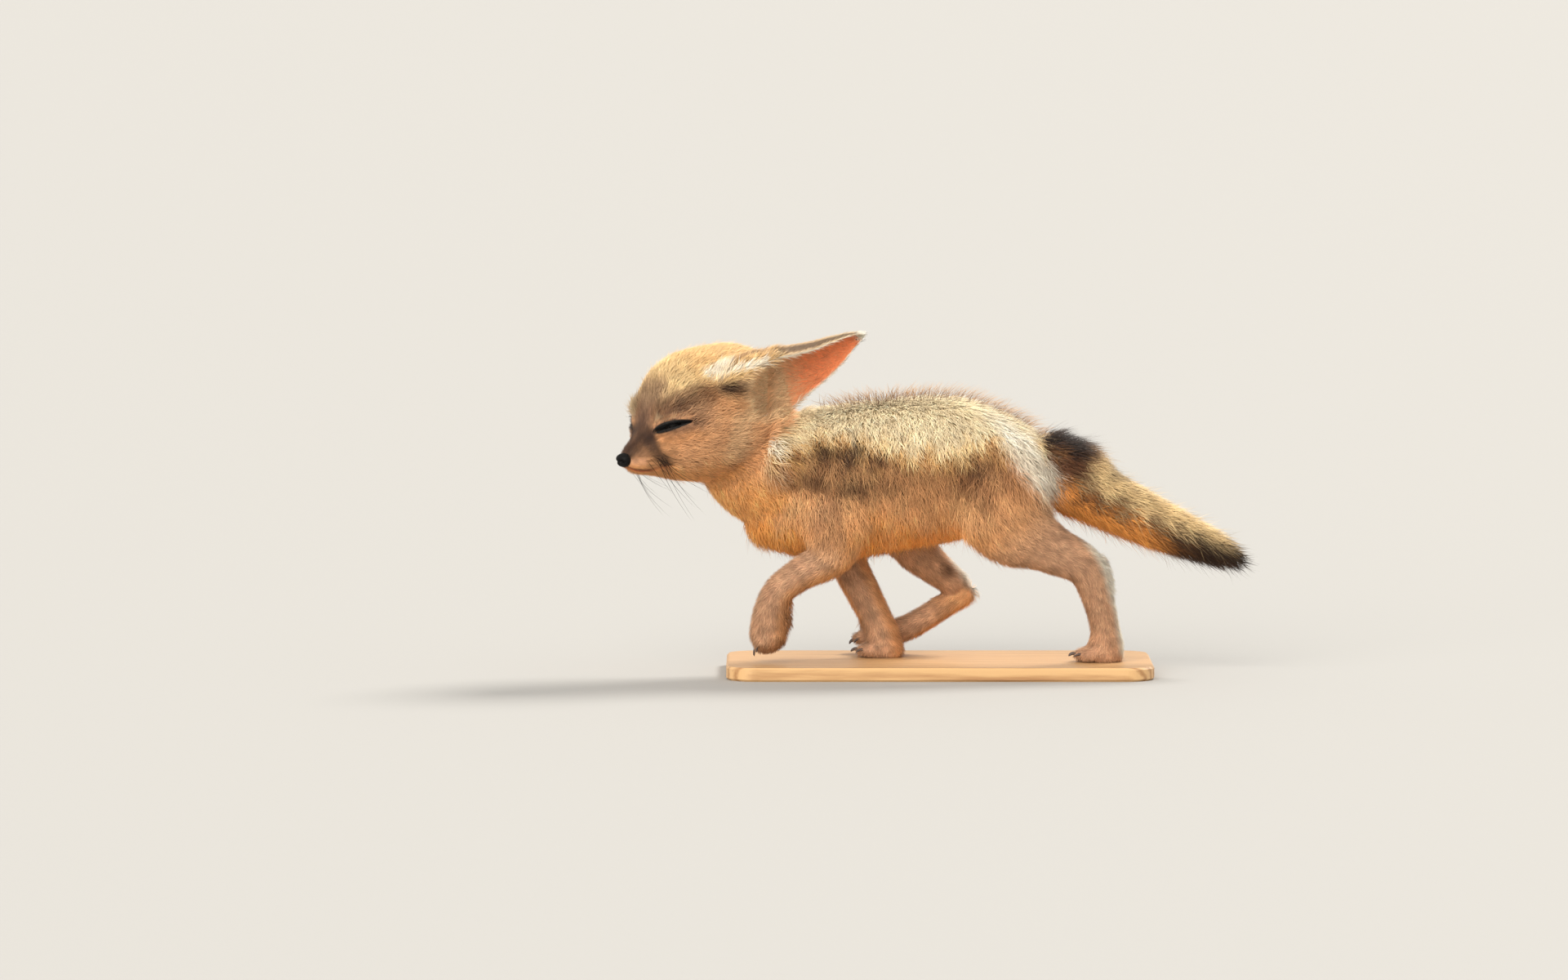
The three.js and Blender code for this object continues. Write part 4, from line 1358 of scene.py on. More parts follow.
HEAD_WISPS = (
    Wisp(((30, 22.5, 26.5), (24, 25, 28.5), (20, 30, 29)), 4.8, 9.0, 3.4, Tint.SNOW, 0.95),
    Wisp(((30, -22.5, 26.5), (24, -25, 28.5), (20, -30, 27)), 4.8, 9.0, 3.4, Tint.SNOW, 0.95),
    Wisp(((55, -15, 9), (50, -21, 6)), 6.5, 8.0, 4.5, Tint.CREAM, 0.4),
    Wisp(((16, 28, 14), (11, 30, 6), (4, 31, 0)), 8.0, 10.5, 2.4),
    Wisp(((16, -28, 12), (11, -30, 4), (4, -31, -2)), 8.0, 10.5, 2.4),
    Wisp(((-4, 30, -18), (10, 30, -22)), 18.0, 12.0, 3.6),
    Wisp(((-4, -30, -18), (10, -30, -22)), 18.0, 12.0, 3.6),
)
BODY_WISPS = (
    Wisp(((46, -26, 138), (56, -24, 118), (60, -20, 100)), 12.0, 14.0, 6.5),
    Wisp(((46, 26, 138), (56, 24, 118), (60, 20, 100)), 12.0, 14.0, 6.5),
    Wisp(((-100, -28, 122), (-99, -24, 136)), 9.0, 11.0, 7.5),
    Wisp(((-100, 28, 122), (-99, 24, 136)), 9.0, 11.0, 7.5),
    Wisp(((62, 0, 126), (74, 0, 126)), 14.0, 17.0, 7.0),
    Wisp(((-86, -24, 34), (-88, -24, 26)), 7.0, 7.0, 4.0, Tint.BROWN, 0.6),
    Wisp(((-46, 16, 20),), 6.0, 6.0, 3.5, Tint.BUFF, 0.6),
    Wisp(((96, -17, 62), (102, -17, 46)), 7.0, 6.5, 3.4),
    Wisp(((18, 37, 50), (24, 37, 38)), 7.0, 6.5, 3.4),
)


@dataclass
class Roots:
    """The places where tufts leave the skin, and what each tuft is like."""

    places: Array
    normals: Array
    comb: Array
    pelt: Array
    tips: Array
    length: Array
    rise: Array
    width: Array
    gather: Array
    unwrap: Array

    @classmethod
    def sown(cls, ground: Ground, chosen: Array, draw: np.random.Generator) -> "Roots":
        """Spreads roots over some triangles of a ground, by its density.

        Args:
            ground: The surface.
            chosen: Which of its triangles take roots.
            draw: The source of random numbers.

        Returns:
            The roots.
        """
        corners = ground.triangles[chosen]
        a, b, c = (ground.places[corners[:, k]] for k in range(3))
        area = 0.5 * np.linalg.norm(np.cross(b - a, c - a), axis=1)
        weight = np.cumsum(area * ground.density[corners].mean(axis=1))
        count = int(weight[-1])
        wanted = (np.arange(count) + draw.random(count)) * weight[-1] / count
        pick = np.minimum(np.searchsorted(weight, wanted), len(corners) - 1)
        first, second = np.sqrt(draw.random(count)), draw.random(count)
        shares = np.column_stack([1 - first, first * (1 - second), first * second])
        corners = corners[pick]

        def at(name: str) -> Array:
            """What the ground holds at the roots, mixed from the corners round each."""
            table = getattr(ground, name)[corners]
            spread = shares if table.ndim == 2 else shares[:, :, None]
            return (table * spread).sum(axis=1)

        names = ("places", "normals", "comb", "pelt", "tips", "length", "rise", "width", "gather")
        made = cls(**{name: at(name) for name in names}, unwrap=ground.unwrap[corners[:, 0]])
        made.normals = unit(made.normals)
        made.comb = unit(across_plane(made.comb, made.normals))
        return made


@dataclass(frozen=True)
class Cut:
    """How tufts are built: the stations along each, and how they vary.

    The first list holds places from root to tip, and the second how wide a tuft is there. The tip
    itself is a point.
    """

    stations: tuple[float, ...] = (0.0, 0.5)
    widths: tuple[float, ...] = (0.8, 0.9)
    sunk: float = 0.5
    wander: float = 0.28
    sway: float = 0.08
    clump: float = 4.8
    gather: bool = True


LONG_CUT = Cut()
FLEECE_CUT = Cut(clump=3.0, sunk=0.4, wander=0.3)
SHORT_CUT = Cut(stations=(0.0,), widths=(1.0,), clump=2.2, sunk=0.35, wander=0.3)
STRAY_CUT = Cut(stations=(0.0, 0.4), widths=(1.0, 0.7), gather=False, wander=0.5)
PATCH = 0.003
UNEVENNESS = 0.15
ROOT_SHADE = 0.72
SHADE_GAIN = 0.36


def strand_faces(rings: int, sides: int) -> Pair:
    """The triangles of one strand, and where their corners lie on its patch of the unwrap.

    Args:
        rings: How many rings of points the strand has before its tip.
        sides: How many points each ring has.

    Returns:
        The corners of each triangle, and their places from 0 to 1 on the patch.
    """
    tip = rings * sides
    faces, spots = [], []
    for k in range(1, sides - 1):
        faces.append((0, k + 1, k))
        spots.append(((0.0, 0.0), (1.0, 0.0), (0.5, 0.5 / rings)))
    for low in range(rings - 1):
        for k in range(sides):
            i, j = low * sides + k, low * sides + (k + 1) % sides
            left, right = k / sides, (k + 1) / sides
            bottom, top = low / rings, (low + 1) / rings
            faces += [(i, j, j + sides), (i, j + sides, i + sides)]
            spots.append(((left, bottom), (right, bottom), (right, top)))
            spots.append(((left, bottom), (right, top), (left, top)))
    for k in range(sides):
        faces.append((tip - sides + k, tip - sides + (k + 1) % sides, tip))
        low = (rings - 1) / rings
        spots.append(((k / sides, low), ((k + 1) / sides, low), ((k + 0.5) / sides, 1.0)))
    return np.array(faces), np.array(spots)


def strand_mesh(
    lines: Array, halves: Array, ups: Array, colours: Array, homes: Array, sides: int = 3
) -> Mesh:
    """Builds many tapered, closed strands as one mesh.

    Args:
        lines: The middle line of each strand, from root to tip, as strands by stations by three.
        halves: The half width at each station but the tip, as strands by stations less one.
        ups: The direction that each strand's ridge faces.
        colours: The colour at each station, in the shape of lines.
        homes: Each strand's place on the unwrap.
        sides: How many sides each strand has. One with three is flat underneath.

    Returns:
        The mesh, in millimetres.
    """
    count, stations, _ = lines.shape
    rings = stations - 1
    ahead = np.diff(lines, axis=1)
    ahead = unit(np.concatenate([ahead[:, :1], ahead[:, 1:] + ahead[:, :-1]], axis=1))
    ups = np.broadcast_to(ups[:, None, :], ahead.shape)
    side = unit(np.cross(ahead, ups))
    ridge = unit(np.cross(side, ahead))
    wide = halves[:, :, None]
    middle = lines[:, :-1]
    if sides == 3:
        spread = [-side, 0.8 * ridge, side]
        facing = [unit(ups - 0.8 * side), ups, unit(ups + 0.8 * side)]
        last = unit(ups[:, -1:] * 0.8 + ahead[:, -1:] * 0.6)
    else:
        angles = [math.pi - 2.0 * math.pi * k / sides for k in range(sides)]
        spread = [side * math.cos(angle) + ridge * math.sin(angle) for angle in angles]
        facing = spread
        last = ahead[:, -1:]
    ring = np.stack([middle + way * wide for way in spread], 2)
    places = np.concatenate([ring.reshape(count, rings * sides, 3), lines[:, -1:]], axis=1)
    facing = np.stack(facing, axis=2).reshape(count, rings * sides, 3)
    normals = np.concatenate([facing, last], axis=1)
    shade = np.repeat(colours[:, :-1], sides, axis=1)
    shade = np.concatenate([shade, colours[:, -1:]], axis=1)
    faces, spots = strand_faces(rings, sides)

    size = places.shape[1]
    triangles = (faces[None] + (np.arange(count) * size)[:, None, None]).reshape(-1)
    mesh = bpy.data.meshes.new("strands")
    mesh.vertices.add(count * size)
    mesh.vertices.foreach_set("co", places.reshape(-1))
    mesh.loops.add(len(triangles))
    mesh.loops.foreach_set("vertex_index", triangles)
    mesh.polygons.add(len(triangles) // 3)
    mesh.polygons.foreach_set("loop_start", np.arange(0, len(triangles), 3))
    mesh.polygons.foreach_set("use_smooth", np.ones(len(triangles) // 3, bool))
    mesh.update(calc_edges=True)
    layer = mesh.uv_layers.new(name="OFBake")
    unwrap = homes[:, None, None, :] + (spots[None] - 0.5) * PATCH
    layer.data.foreach_set("uv", unwrap.reshape(-1))
    store_colour(mesh, shade.reshape(-1, 3))
    mesh.normals_split_custom_set_from_vertices(normals.reshape(-1, 3))
    return mesh


def clump_pull(places: Array, spacing: float, draw: np.random.Generator) -> Array:
    """The way from each place to the middle of the clump that it belongs to."""
    order = draw.permutation(len(places))
    share = min(1.0, 3.0 / (spacing * spacing))
    chosen = order[: max(1, int(len(places) * share))]
    tree = KDTree(len(chosen))
    for number, index in enumerate(chosen):
        tree.insert(places[index], number)
    tree.balance()
    middles = np.array([tree.find(place)[0] for place in places])
    pull = middles - places
    far = np.linalg.norm(pull, axis=1, keepdims=True)
    return pull * np.minimum(1.0, spacing / np.maximum(far, 1e-6))


@dataclass
class Coat:
    """One stretch of the coat, made of many small tufts that lie along the body."""

    name: str
    slot: str
    cut: Cut
    seed: int

    def lines(self, roots: Roots, draw: np.random.Generator) -> Array:
        """The middle lines of the tufts."""
        size = len(roots.places)
        turn = draw.normal(0.0, self.cut.wander, size)
        side = np.cross(roots.normals, roots.comb)
        ahead = unit(roots.comb + side * turn[:, None])
        side = np.cross(roots.normals, ahead)
        length = roots.length * draw.uniform(0.7, 1.2, size)
        rise = np.minimum(roots.rise * draw.uniform(0.6, 1.25, size), 0.85 * length)
        run = np.sqrt(length ** 2 - rise ** 2)
        pull = np.zeros_like(roots.places)
        if self.cut.gather:
            pull = clump_pull(roots.places, self.cut.clump, draw)
            pull = across_plane(pull, roots.normals) * roots.gather[:, None]
        phase = draw.uniform(0.0, 2.0 * math.pi, size)
        made = []
        for t in (*self.cut.stations, 1.0):
            height = (rise + self.cut.sunk) * math.sin(0.5 * math.pi * t) ** 0.9 - self.cut.sunk
            sway = self.cut.sway * length * t * np.sin(phase + 4.0 * t)
            made.append(
                roots.places
                + ahead * (run * t)[:, None]
                + roots.normals * height[:, None]
                + side * sway[:, None]
                + pull * t * t
            )
        return np.stack(made, axis=1)

    def build(self, ground: Ground, chosen: Array, material: Material) -> Object:
        """Grows the stretch.

        Args:
            ground: The surface that it grows on.
            chosen: Which triangles of the surface take it.
            material: Its material.

        Returns:
            The finished piece.
        """
        draw = np.random.default_rng(self.seed)
        roots = Roots.sown(ground, chosen, draw)
        lines = self.lines(roots, draw)
        size = len(roots.places)
        stations = np.array((*self.cut.stations, 1.0))
        fade = (stations ** 1.3)[None, :, None]
        colours = roots.pelt[:, None] + (roots.tips - roots.pelt)[:, None] * fade
        shade = np.exp(draw.normal(0.0, UNEVENNESS, (size, 1, 1)))
        # Darker at the root and lighter at the tip: partly the hairs' own banding, partly painted shade
        # deep in the coat.
        depth = ROOT_SHADE + SHADE_GAIN * stations[None, :, None]
        colours = np.clip(colours * shade * depth, 0.0, 1.0)
        wide = 0.5 * roots.width * draw.uniform(0.7, 1.3, size)
        halves = wide[:, None] * np.array(self.cut.widths)[None]
        mesh = strand_mesh(lines, halves, roots.normals, colours, roots.unwrap)
        return finish_piece(self.name, mesh, material)


@dataclass
class Ears:
    """The two thin ears, laid back by the wind.

    Places are in the head's frame. Each row of the shape holds a share of the length, how far the
    ear bows to its lower edge there, its half width and the depth of its back.
    """

    head: HeadPose
    roots: tuple[Triple, ...] = ((12.5, 28.5, 13.4), (12.5, -28.5, 8.6))
    ends: tuple[Triple, ...] = ((-65.4, 50, 39.4), (-76, -40, 12))
    lower: tuple[Triple, ...] = ((-0.42, -0.45, -0.79), (-0.42, 0.45, -0.79))
    shape: Rows = (
        (0, 0.5, 15.5, 11), (0.1, 2.0, 18.4, 15), (0.2, 3.6, 20, 17.4), (0.34, 5.8, 21.3, 18),
        (0.49, 5.6, 17.4, 16.5), (0.63, 4.8, 13.8, 13.5), (0.77, 2.6, 10.2, 9.6),
        (0.89, 0.4, 5.8, 6), (1, 0, 1.6, 1.6),
    )
    front: float = 0.5
    shade: float = 0.9
    longest_edge: float = 2.5
    swelling: Rows = (
        (-0.22, -10.0), (-0.12, -5.0), (-0.02, 0.6), (0.07, 1.9), (0.15, 1.6), (0.24, 0.4),
        (0.31, -1.6),
    )

    def down(self, number: int) -> Array:
        """The direction from the middle of one ear to its lower edge."""
        return self.head.direction(*self.lower[number])

    def middle(self, number: int, share: float, bow: float) -> Array:
        """A point on the middle line of one ear, at a share of its length."""
        start, end = self.head.place(*self.roots[number]), self.head.place(*self.ends[number])
        return start + (end - start) * share + self.down(number) * bow

    def set_of(self, number: int) -> dict[str, object]:
        """The settings that all forms of one ear share."""
        return {"across": tuple(self.down(number)), "into": np.eye(4), "least": 0.25}

    def rows(self, number: int, deeper: float, front: float, more: float = 0.0) -> Rows:
        """The rows of a form that lies outside one ear, and how far its front stands out."""
        return tuple(
            (*self.middle(number, share, bow), half + deeper, depth + deeper, depth * front + more)
            for share, bow, half, depth in self.shape
        )

    def shell(self, number: int) -> EarShell:
        """The form of one ear."""
        rows, hair = self.rows(number, 0.0, self.front), Hair(3.2, 1.1, 0.45, 1.2)
        tile = (0.02, 0.02, 0.98, 0.98)
        shared = self.set_of(number)
        return EarShell(Kind.HEAD, rows, (0.06, 0.04), hair=hair, tile=tile, **shared)

    def root(self, number: int) -> Form:
        """The swelling of the head that one ear grows out of."""
        stations, bows, halves, depths = np.array(self.shape).T
        rows = []
        for share, grown in self.swelling:
            bow, half, depth = (np.interp(share, stations, way) for way in (bows, halves, depths))
            middle = self.middle(number, share, bow)
            rows.append((*middle, half + grown, depth + grown, 0.5 * depth + grown))
        return Form(Kind.HEAD, tuple(rows), (0.2, 0.12), **self.set_of(number))

    def hollow(self, number: int) -> Form:
        """The room inside one ear, which the head gives way to."""
        return Form(Kind.HEAD, self.rows(number, -0.7, 1.0, 8.0), (0.1, 0.04), **self.set_of(number))

    def line(self, ground: Ground, number: int) -> None:
        """Gives the part of the head that lies inside an ear the colours and hair of the ear.

        Args:
            ground: The head's surface.
            number: 0 for the left ear and 1 for the right one.
        """
        hollow = self.hollow(number)
        shares = np.linspace(0.0, 1.0, 80)
        line = hollow.path.evenly(shares)
        middles = hollow.path.at(line)
        along = hollow.path.heading(line)
        near = np.linalg.norm(ground.places - middles[12], axis=1) < 62.0
        places = ground.places[near]
        steps = np.argmin(np.linalg.norm(places[:, None] - middles[None], axis=2), axis=1)
        off = places - middles[steps]
        side = unit(across_plane(np.array(hollow.across), along[steps]))
        up = np.cross(along[steps], side)
        half, high, low = hollow.reach.at(line[steps]).T
        across, out = np.sum(off * side, axis=1), np.sum(off * up, axis=1)
        level = np.where(out > 0, high, low)
        inside = ramp(np.hypot(across / half, out / level), 1.12, 1.03)
        inside = inside * (np.abs(np.sum(off * along[steps], axis=1)) < 3.0)
        share = np.zeros(len(ground.places))
        share[near] = inside
        place = np.zeros(len(share))
        place[near] = shares[steps]
        # Orange deeper inside the ear: painted light shining through the thin ear.
        backlight = 0.5 * ramp(place, 0.25, 0.5)
        roots = painted(Tint.TAN.linear, (Tint.EAR_BACKLIGHT, backlight), (Tint.CREAM, 0.3))
        ground.lay(roots, painted(roots, (Tint.CREAM, 0.4)), share)
        heading = np.zeros_like(ground.comb)
        heading[near] = along[steps]
        turned = across_plane(blend(ground.comb, heading, share), ground.normals)
        ground.comb = unit(turned + 1e-6 * ground.comb)
        ground.rise += share * (1.2 - ground.rise)
        ground.length += share * (8.0 - ground.length)

    def build(self, skin: Material, fur: Material, pelt: Pelt) -> None:
        """Builds both ears with their coats.

        Args:
            skin: The material of the shells.
            fur: The material of their hair.
            pelt: The markings of the head that they grow out of.
        """
        for number, side in enumerate(("left", "right")):
            form = self.shell(number)
            bm = bmesh.new()
            form.loft(bm)
            bm.verts.index_update()
            bm.edges.sort(key=by_vertices)
            bm.faces.sort(key=by_vertices)
            long = [edge for edge in bm.edges if edge.calc_length() > self.longest_edge]
            bmesh.ops.subdivide_edges(bm, edges=long, cuts=1, use_grid_fill=True)
            mesh = mesh_from(bm, "ear", smooth=True)
            ground = self.grown(mesh, form, pelt)
            store_colour(mesh, ground.pelt * self.shade)
            finish_piece(f"{side}_ear_shell", mesh, skin, (f"{side}_ear",))
            chosen = np.ones(len(ground.triangles), bool)
            Coat(f"coat_{side}_ear", "ear_skin", SHORT_CUT, 60 + number).build(ground, chosen, fur)

    def grown(self, mesh: Mesh, form: EarShell, pelt: Pelt) -> Ground:
        """What grows on one ear: grey-brown behind, white rims and orange inside, both partly painted
        light.
        """
        ground = Ground.bare(mesh)
        _, turn, share = locate(ground.places, [form])
        across, back = form.reach_across(turn)
        edge = np.minimum(across, 1.0 - across)
        # White rims: partly white hair, partly painted rim light.
        rim = ramp(edge, 0.04, 0.012) * np.where(across < 0.5, ramp(share, 0.28, 0.42), 1.0)
        rim = np.maximum(rim, ramp(share, 0.93, 0.97))
        far = ramp(share, 0.3, 0.52)
        # A dark line on the back beside the rim: painted shadow between the rim's hair and the ear's
        # back.
        line = ramp(across, 0.78, 0.84) * ramp(across, 0.96, 0.93) * ramp(share, 0.04, 0.14)
        behind = painted(
            pelt.face(ground.places)[0],
            (Tint.EAR_BACK, far),
            (Tint.CREAM, 0.35 * ramp(share, 0.6, 0.95)),
            (Tint.UMBER, 0.75 * line),
        )
        # Orange deeper inside: painted light shining through the thin ear.
        backlight = ramp(share - 0.3 * across, 0.14, 0.5)
        within = painted(Tint.TAN.linear, (Tint.CREAM, 0.3), (Tint.EAR_BACKLIGHT, backlight))
        downy = 0.15 + 0.4 * ramp(share, 0.6, 0.2) + 0.3 * ramp(across, 0.5, 0.9)
        pale = painted(within, (Tint.CREAM, downy))
        ground.pelt = painted(np.where(back[:, None], behind, within), (Tint.SNOW, rim))
        ground.tips = painted(np.where(back[:, None], behind, pale), (Tint.SNOW, rim))
        along, _ = form.directions(turn, share)
        down = np.array(form.across)
        inward = np.where(back, 0.0, 0.7) * (1.0 - rim)
        ground.comb = unit(across_plane(along + down * inward[:, None], ground.normals))
        near = 1.0 - far
        ground.length = np.where(back, 3.2 + 4.0 * near, 8.0 - 4.5 * ramp(share, 0.2, 0.8)) + 0.5 * rim
        ground.rise = np.where(back, 1.0 + 1.4 * near, 1.2) + 0.8 * rim
        ground.width[:] = form.hair.width
        ground.density = np.where(back, 1.3, 0.9) + 1.2 * rim
        ground.gather[:] = 0.3
        ground.unwrap = form.on_tile(turn, share)
        return ground


@dataclass
class Nose:
    """The black pad of the nose, with two nostrils and the groove below them."""

    head: HeadPose
    at: Triple = (75.3, 0.0, -17.4)
    radii: Triple = (4.6, 5.6, 4.4)
    nostril: tuple[float, float] = (2.5, -0.5)
    nostril_size: tuple[float, float] = (1.15, 0.95)
    nostril_depth: float = 2.1
    groove: tuple[float, float] = (0.42, 0.7)

    def build(self, material: Material) -> Object:
        """Builds the pad."""
        bm = bmesh.new()
        bmesh.ops.create_uvsphere(bm, u_segments=96, v_segments=64, radius=1.0)
        mesh = mesh_from(bm, "nose_pad", smooth=True)
        ball = read_surface(mesh)[0]
        local = ball * self.radii
        x, y, z = local.T
        front = ramp(ball[:, 0], 0.1, 0.6)
        apart, level = self.nostril
        wide, high = self.nostril_size
        hole = np.exp(-((np.abs(y) - apart) / wide) ** 2 - ((z - level) / high) ** 2)
        wing = np.exp(-((np.abs(y) - apart - 1.4) / 1.2) ** 2 - ((z - level + 0.5) / 0.5) ** 2)
        half, deep = self.groove
        split = np.exp(-((y / half) ** 2)) * ramp(z, 0.8, -1.2)
        dent = (self.nostril_depth * hole + 0.8 * wing + deep * split) * front
        local[:, 0] = x - dent
        local[:, 2] = z - 0.5 * ramp(z, 1.5, 4.4)
        places = local @ self.head.frame[:3, :3].T + self.head.place(*self.at)
        mesh.vertices.foreach_set("co", places.ravel())
        mesh.update()
        return finish_piece("nose_pad", mesh, material, ("nose",))


@dataclass
class Whiskers:
    """The whiskers of the muzzle and brows, swept back and down by the wind."""

    head: HeadPose
    skull: Form
    pad: Rows = (
        (67.0, -17.9), (63.4, -20.0), (60.5, -19.0), (58.0, -17.5), (65.0, -16.2), (61.5, -22.3),
        (56.0, -20.0), (58.5, -15.2), (63.0, -17.6), (68.0, -20.4), (57.5, -22.0), (60.5, -16.8),
    )
    brow: Rows = ((50, 15, 12, 15, -0.2), (47, 17, 12, 17, -0.2), (44, 19, 12, 19, -0.2))
    cheek: Rows = ((38, 32, -16, 16, 0.9), (34, 32, -18, 16, 0.9), (30, 32, -20, 16, 0.9))
    length: float = 42.0
    half: float = 0.15
    seed: int = 71

    def strand(self, root: Array, out: Array, length: float, fall: float) -> Array:
        """The middle line of one whisker.

        Args:
            root: Where it leaves the skin.
            out: The direction out of the skin there.
            length: How long it is.
            fall: How strongly it droops.

        Returns:
            Its points from root to tip.
        """
        back = self.head.direction(-1.0, 0.0, 0.0)
        first = root + unit(0.8 * out + 0.5 * back + 0.5 * fall * DOWN) * length * 0.4
        last = root + unit(back + fall * DOWN + 0.25 * out) * length
        t = np.linspace(0.0, 1.0, 9)[:, None]
        return root * (1 - t) ** 2 + first * 2 * t * (1 - t) + last * t * t

    def build(self, material: Material) -> Object:
        """Builds all the whiskers as one piece."""
        draw = np.random.default_rng(self.seed)
        lines = []
        for side in (1, -1):
            for a, c in self.pad:
                root, out = self.skull.nearest(self.head.place(a, side * 16.0, c))
                size = self.length * (0.7 + 0.03 * (68.0 - a)) * draw.uniform(0.8, 1.15)
                fall = 0.25 + 0.17 * (-15.0 - c) + draw.normal(0.0, 0.12)
                lines.append(self.strand(root - out * 1.5, out, size, fall))
            for a, b, c, size, fall in (*self.brow, *self.cheek):
                root, out = self.skull.nearest(self.head.place(a, side * b, c))
                lines.append(self.strand(root - out, out, size, fall))
        lines = np.stack(lines)
        count = len(lines)
        taper = self.half * (1.0 - 0.75 * np.linspace(0.0, 1.0, 8))
        halves = np.tile(taper, (count, 1)) * draw.uniform(0.8, 1.1, (count, 1))
        ups = np.tile((0.0, -0.6, 0.8), (count, 1))
        colours = np.tile(Tint.SOOT.linear, (count, 9, 1))
        homes = np.column_stack([np.linspace(0.05, 0.95, count), np.full(count, 0.5)])
        mesh = strand_mesh(lines, halves, ups, colours, homes, sides=5)
        return finish_piece("whiskers", mesh, material)


@dataclass
class Claws:
    """The small blunt claws, four on each foot."""

    frames: list[Array]
    length: float = 4.4
    half: float = 0.95
    start: float = 4.6

    def build(self, material: Material) -> Object:
        """Builds all the claws as one piece."""
        t = np.linspace(0.0, 1.0, 7)
        arc = np.column_stack([
            -self.start - self.length * t,
            np.zeros(7),
            0.5 + 0.5 * np.sin(math.pi * t * 0.9) - 1.5 * t * t,
        ])
        lines = np.stack([arc @ place[:3, :3].T + place[:3, 3] for place in self.frames])
        lines[:, :, 2] = np.maximum(lines[:, :, 2], BASE_TOP + 0.35)
        count = len(lines)
        halves = np.tile(self.half * np.sqrt(1.0 - 0.85 * t[:-1]), (count, 1))
        ups = np.stack([place[:3, 2] for place in self.frames])
        colours = np.tile(Tint.CLAW.linear, (count, 7, 1))
        homes = np.column_stack([np.linspace(0.05, 0.95, count), np.full(count, 0.2)])
        mesh = strand_mesh(lines, halves, ups, colours, homes, sides=10)
        return finish_piece("claws", mesh, material)


class Nodes:
    """Builds the node tree of a material or a node group."""

    def __init__(self, tree: bpy.types.NodeTree) -> None:
        """Takes the tree that the nodes go into."""
        self.tree = tree

    def add(self, kind: str, **values: object) -> Node:
        """Adds a node.

        Args:
            kind: The node's type.
            values: Its properties, or the values of its inputs by name.

        Returns:
            The node.
        """
        node = self.tree.nodes.new(kind)
        for name, value in values.items():
            if hasattr(node, name):
                setattr(node, name, value)
            else:
                node.inputs[name.replace("_", " ")].default_value = value
        return node

    def link(self, start: Node, output: str | int, end: Node, name: str | int) -> None:
        """Joins an output of one node to an input of another."""
        self.tree.links.new(start.outputs[output], end.inputs[name])


def hair_tone() -> bpy.types.NodeTree:
    """The shared effect that breaks up a coat's colour and roughness, built once."""
    tree = bpy.data.node_groups.new("hair_tone", "ShaderNodeTree")
    sockets = (
        ("Colour", "INPUT", "Color"), ("Scale", "INPUT", "Float"), ("Strength", "INPUT", "Float"),
        ("Colour", "OUTPUT", "Color"), ("Roughness", "OUTPUT", "Float"), ("Height", "OUTPUT", "Float"),
    )
    for name, way, kind in sockets:
        tree.interface.new_socket(name, in_out=way, socket_type=f"NodeSocket{kind}")
    nodes = Nodes(tree)
    entry, leave = nodes.add("NodeGroupInput"), nodes.add("NodeGroupOutput")
    where = nodes.add("ShaderNodeTexCoord")
    noise = nodes.add("ShaderNodeTexNoise", Detail=4.0, Roughness=0.65)
    centred = nodes.add("ShaderNodeMath", operation="SUBTRACT")
    centred.inputs[1].default_value = 0.5
    scaled = nodes.add("ShaderNodeMath", operation="MULTIPLY_ADD")
    scaled.inputs[2].default_value = 1.0
    shade = nodes.add("ShaderNodeHueSaturation")
    rough = nodes.add("ShaderNodeMapRange", From_Min=0.3, From_Max=0.7, To_Min=0.55, To_Max=0.8)
    nodes.link(where, "Object", noise, "Vector")
    nodes.link(entry, "Scale", noise, "Scale")
    nodes.link(noise, "Fac", centred, 0)
    nodes.link(centred, 0, scaled, 0)
    nodes.link(entry, "Strength", scaled, 1)
    nodes.link(scaled, 0, shade, "Value")
    nodes.link(entry, "Colour", shade, "Color")
    nodes.link(noise, "Fac", rough, "Value")
    nodes.link(shade, "Color", leave, "Colour")
    nodes.link(rough, "Result", leave, "Roughness")
    nodes.link(noise, "Fac", leave, "Height")
    return tree


def new_material(name: str) -> tuple[Material, Nodes, Node]:
    """A new material with its nodes and its shader."""
    made = bpy.data.materials.new(name)
    made.use_nodes = True
    return made, Nodes(made.node_tree), made.node_tree.nodes["Principled BSDF"]


@dataclass(frozen=True)
class CoatFinish:
    """The finish of skin or fur, whose colour is stored at its vertices."""

    name: str
    tone: bpy.types.NodeTree
    scale: float
    strength: float
    bump: float

    RELIEF = 0.0006

    def gloss(self) -> dict[str, float]:
        """The values of the shader that stay the same all over."""
        return {"Sheen Weight": 0.05, "Sheen Roughness": 0.5, "Specular IOR Level": 0.25}

    def colour(self, nodes: Nodes, tone: Node) -> None:
        """Gives the tone its colour."""
        stored = nodes.add("ShaderNodeAttribute", attribute_name=PELT)
        nodes.link(stored, "Color", tone, "Colour")

    def material(self) -> Material:
        """Builds the material."""
        made, nodes, shader = new_material(self.name)
        for name, value in self.gloss().items():
            shader.inputs[name].default_value = value
        tone = nodes.add("ShaderNodeGroup", node_tree=self.tone, Scale=self.scale, Strength=self.strength)
        self.colour(nodes, tone)
        nodes.link(tone, "Colour", shader, "Base Color")
        nodes.link(tone, "Roughness", shader, "Roughness")
        if self.bump:
            bump = nodes.add("ShaderNodeBump", Strength=self.bump, Distance=self.RELIEF)
            nodes.link(tone, "Height", bump, "Height")
            nodes.link(bump, "Normal", shader, "Normal")
        return made


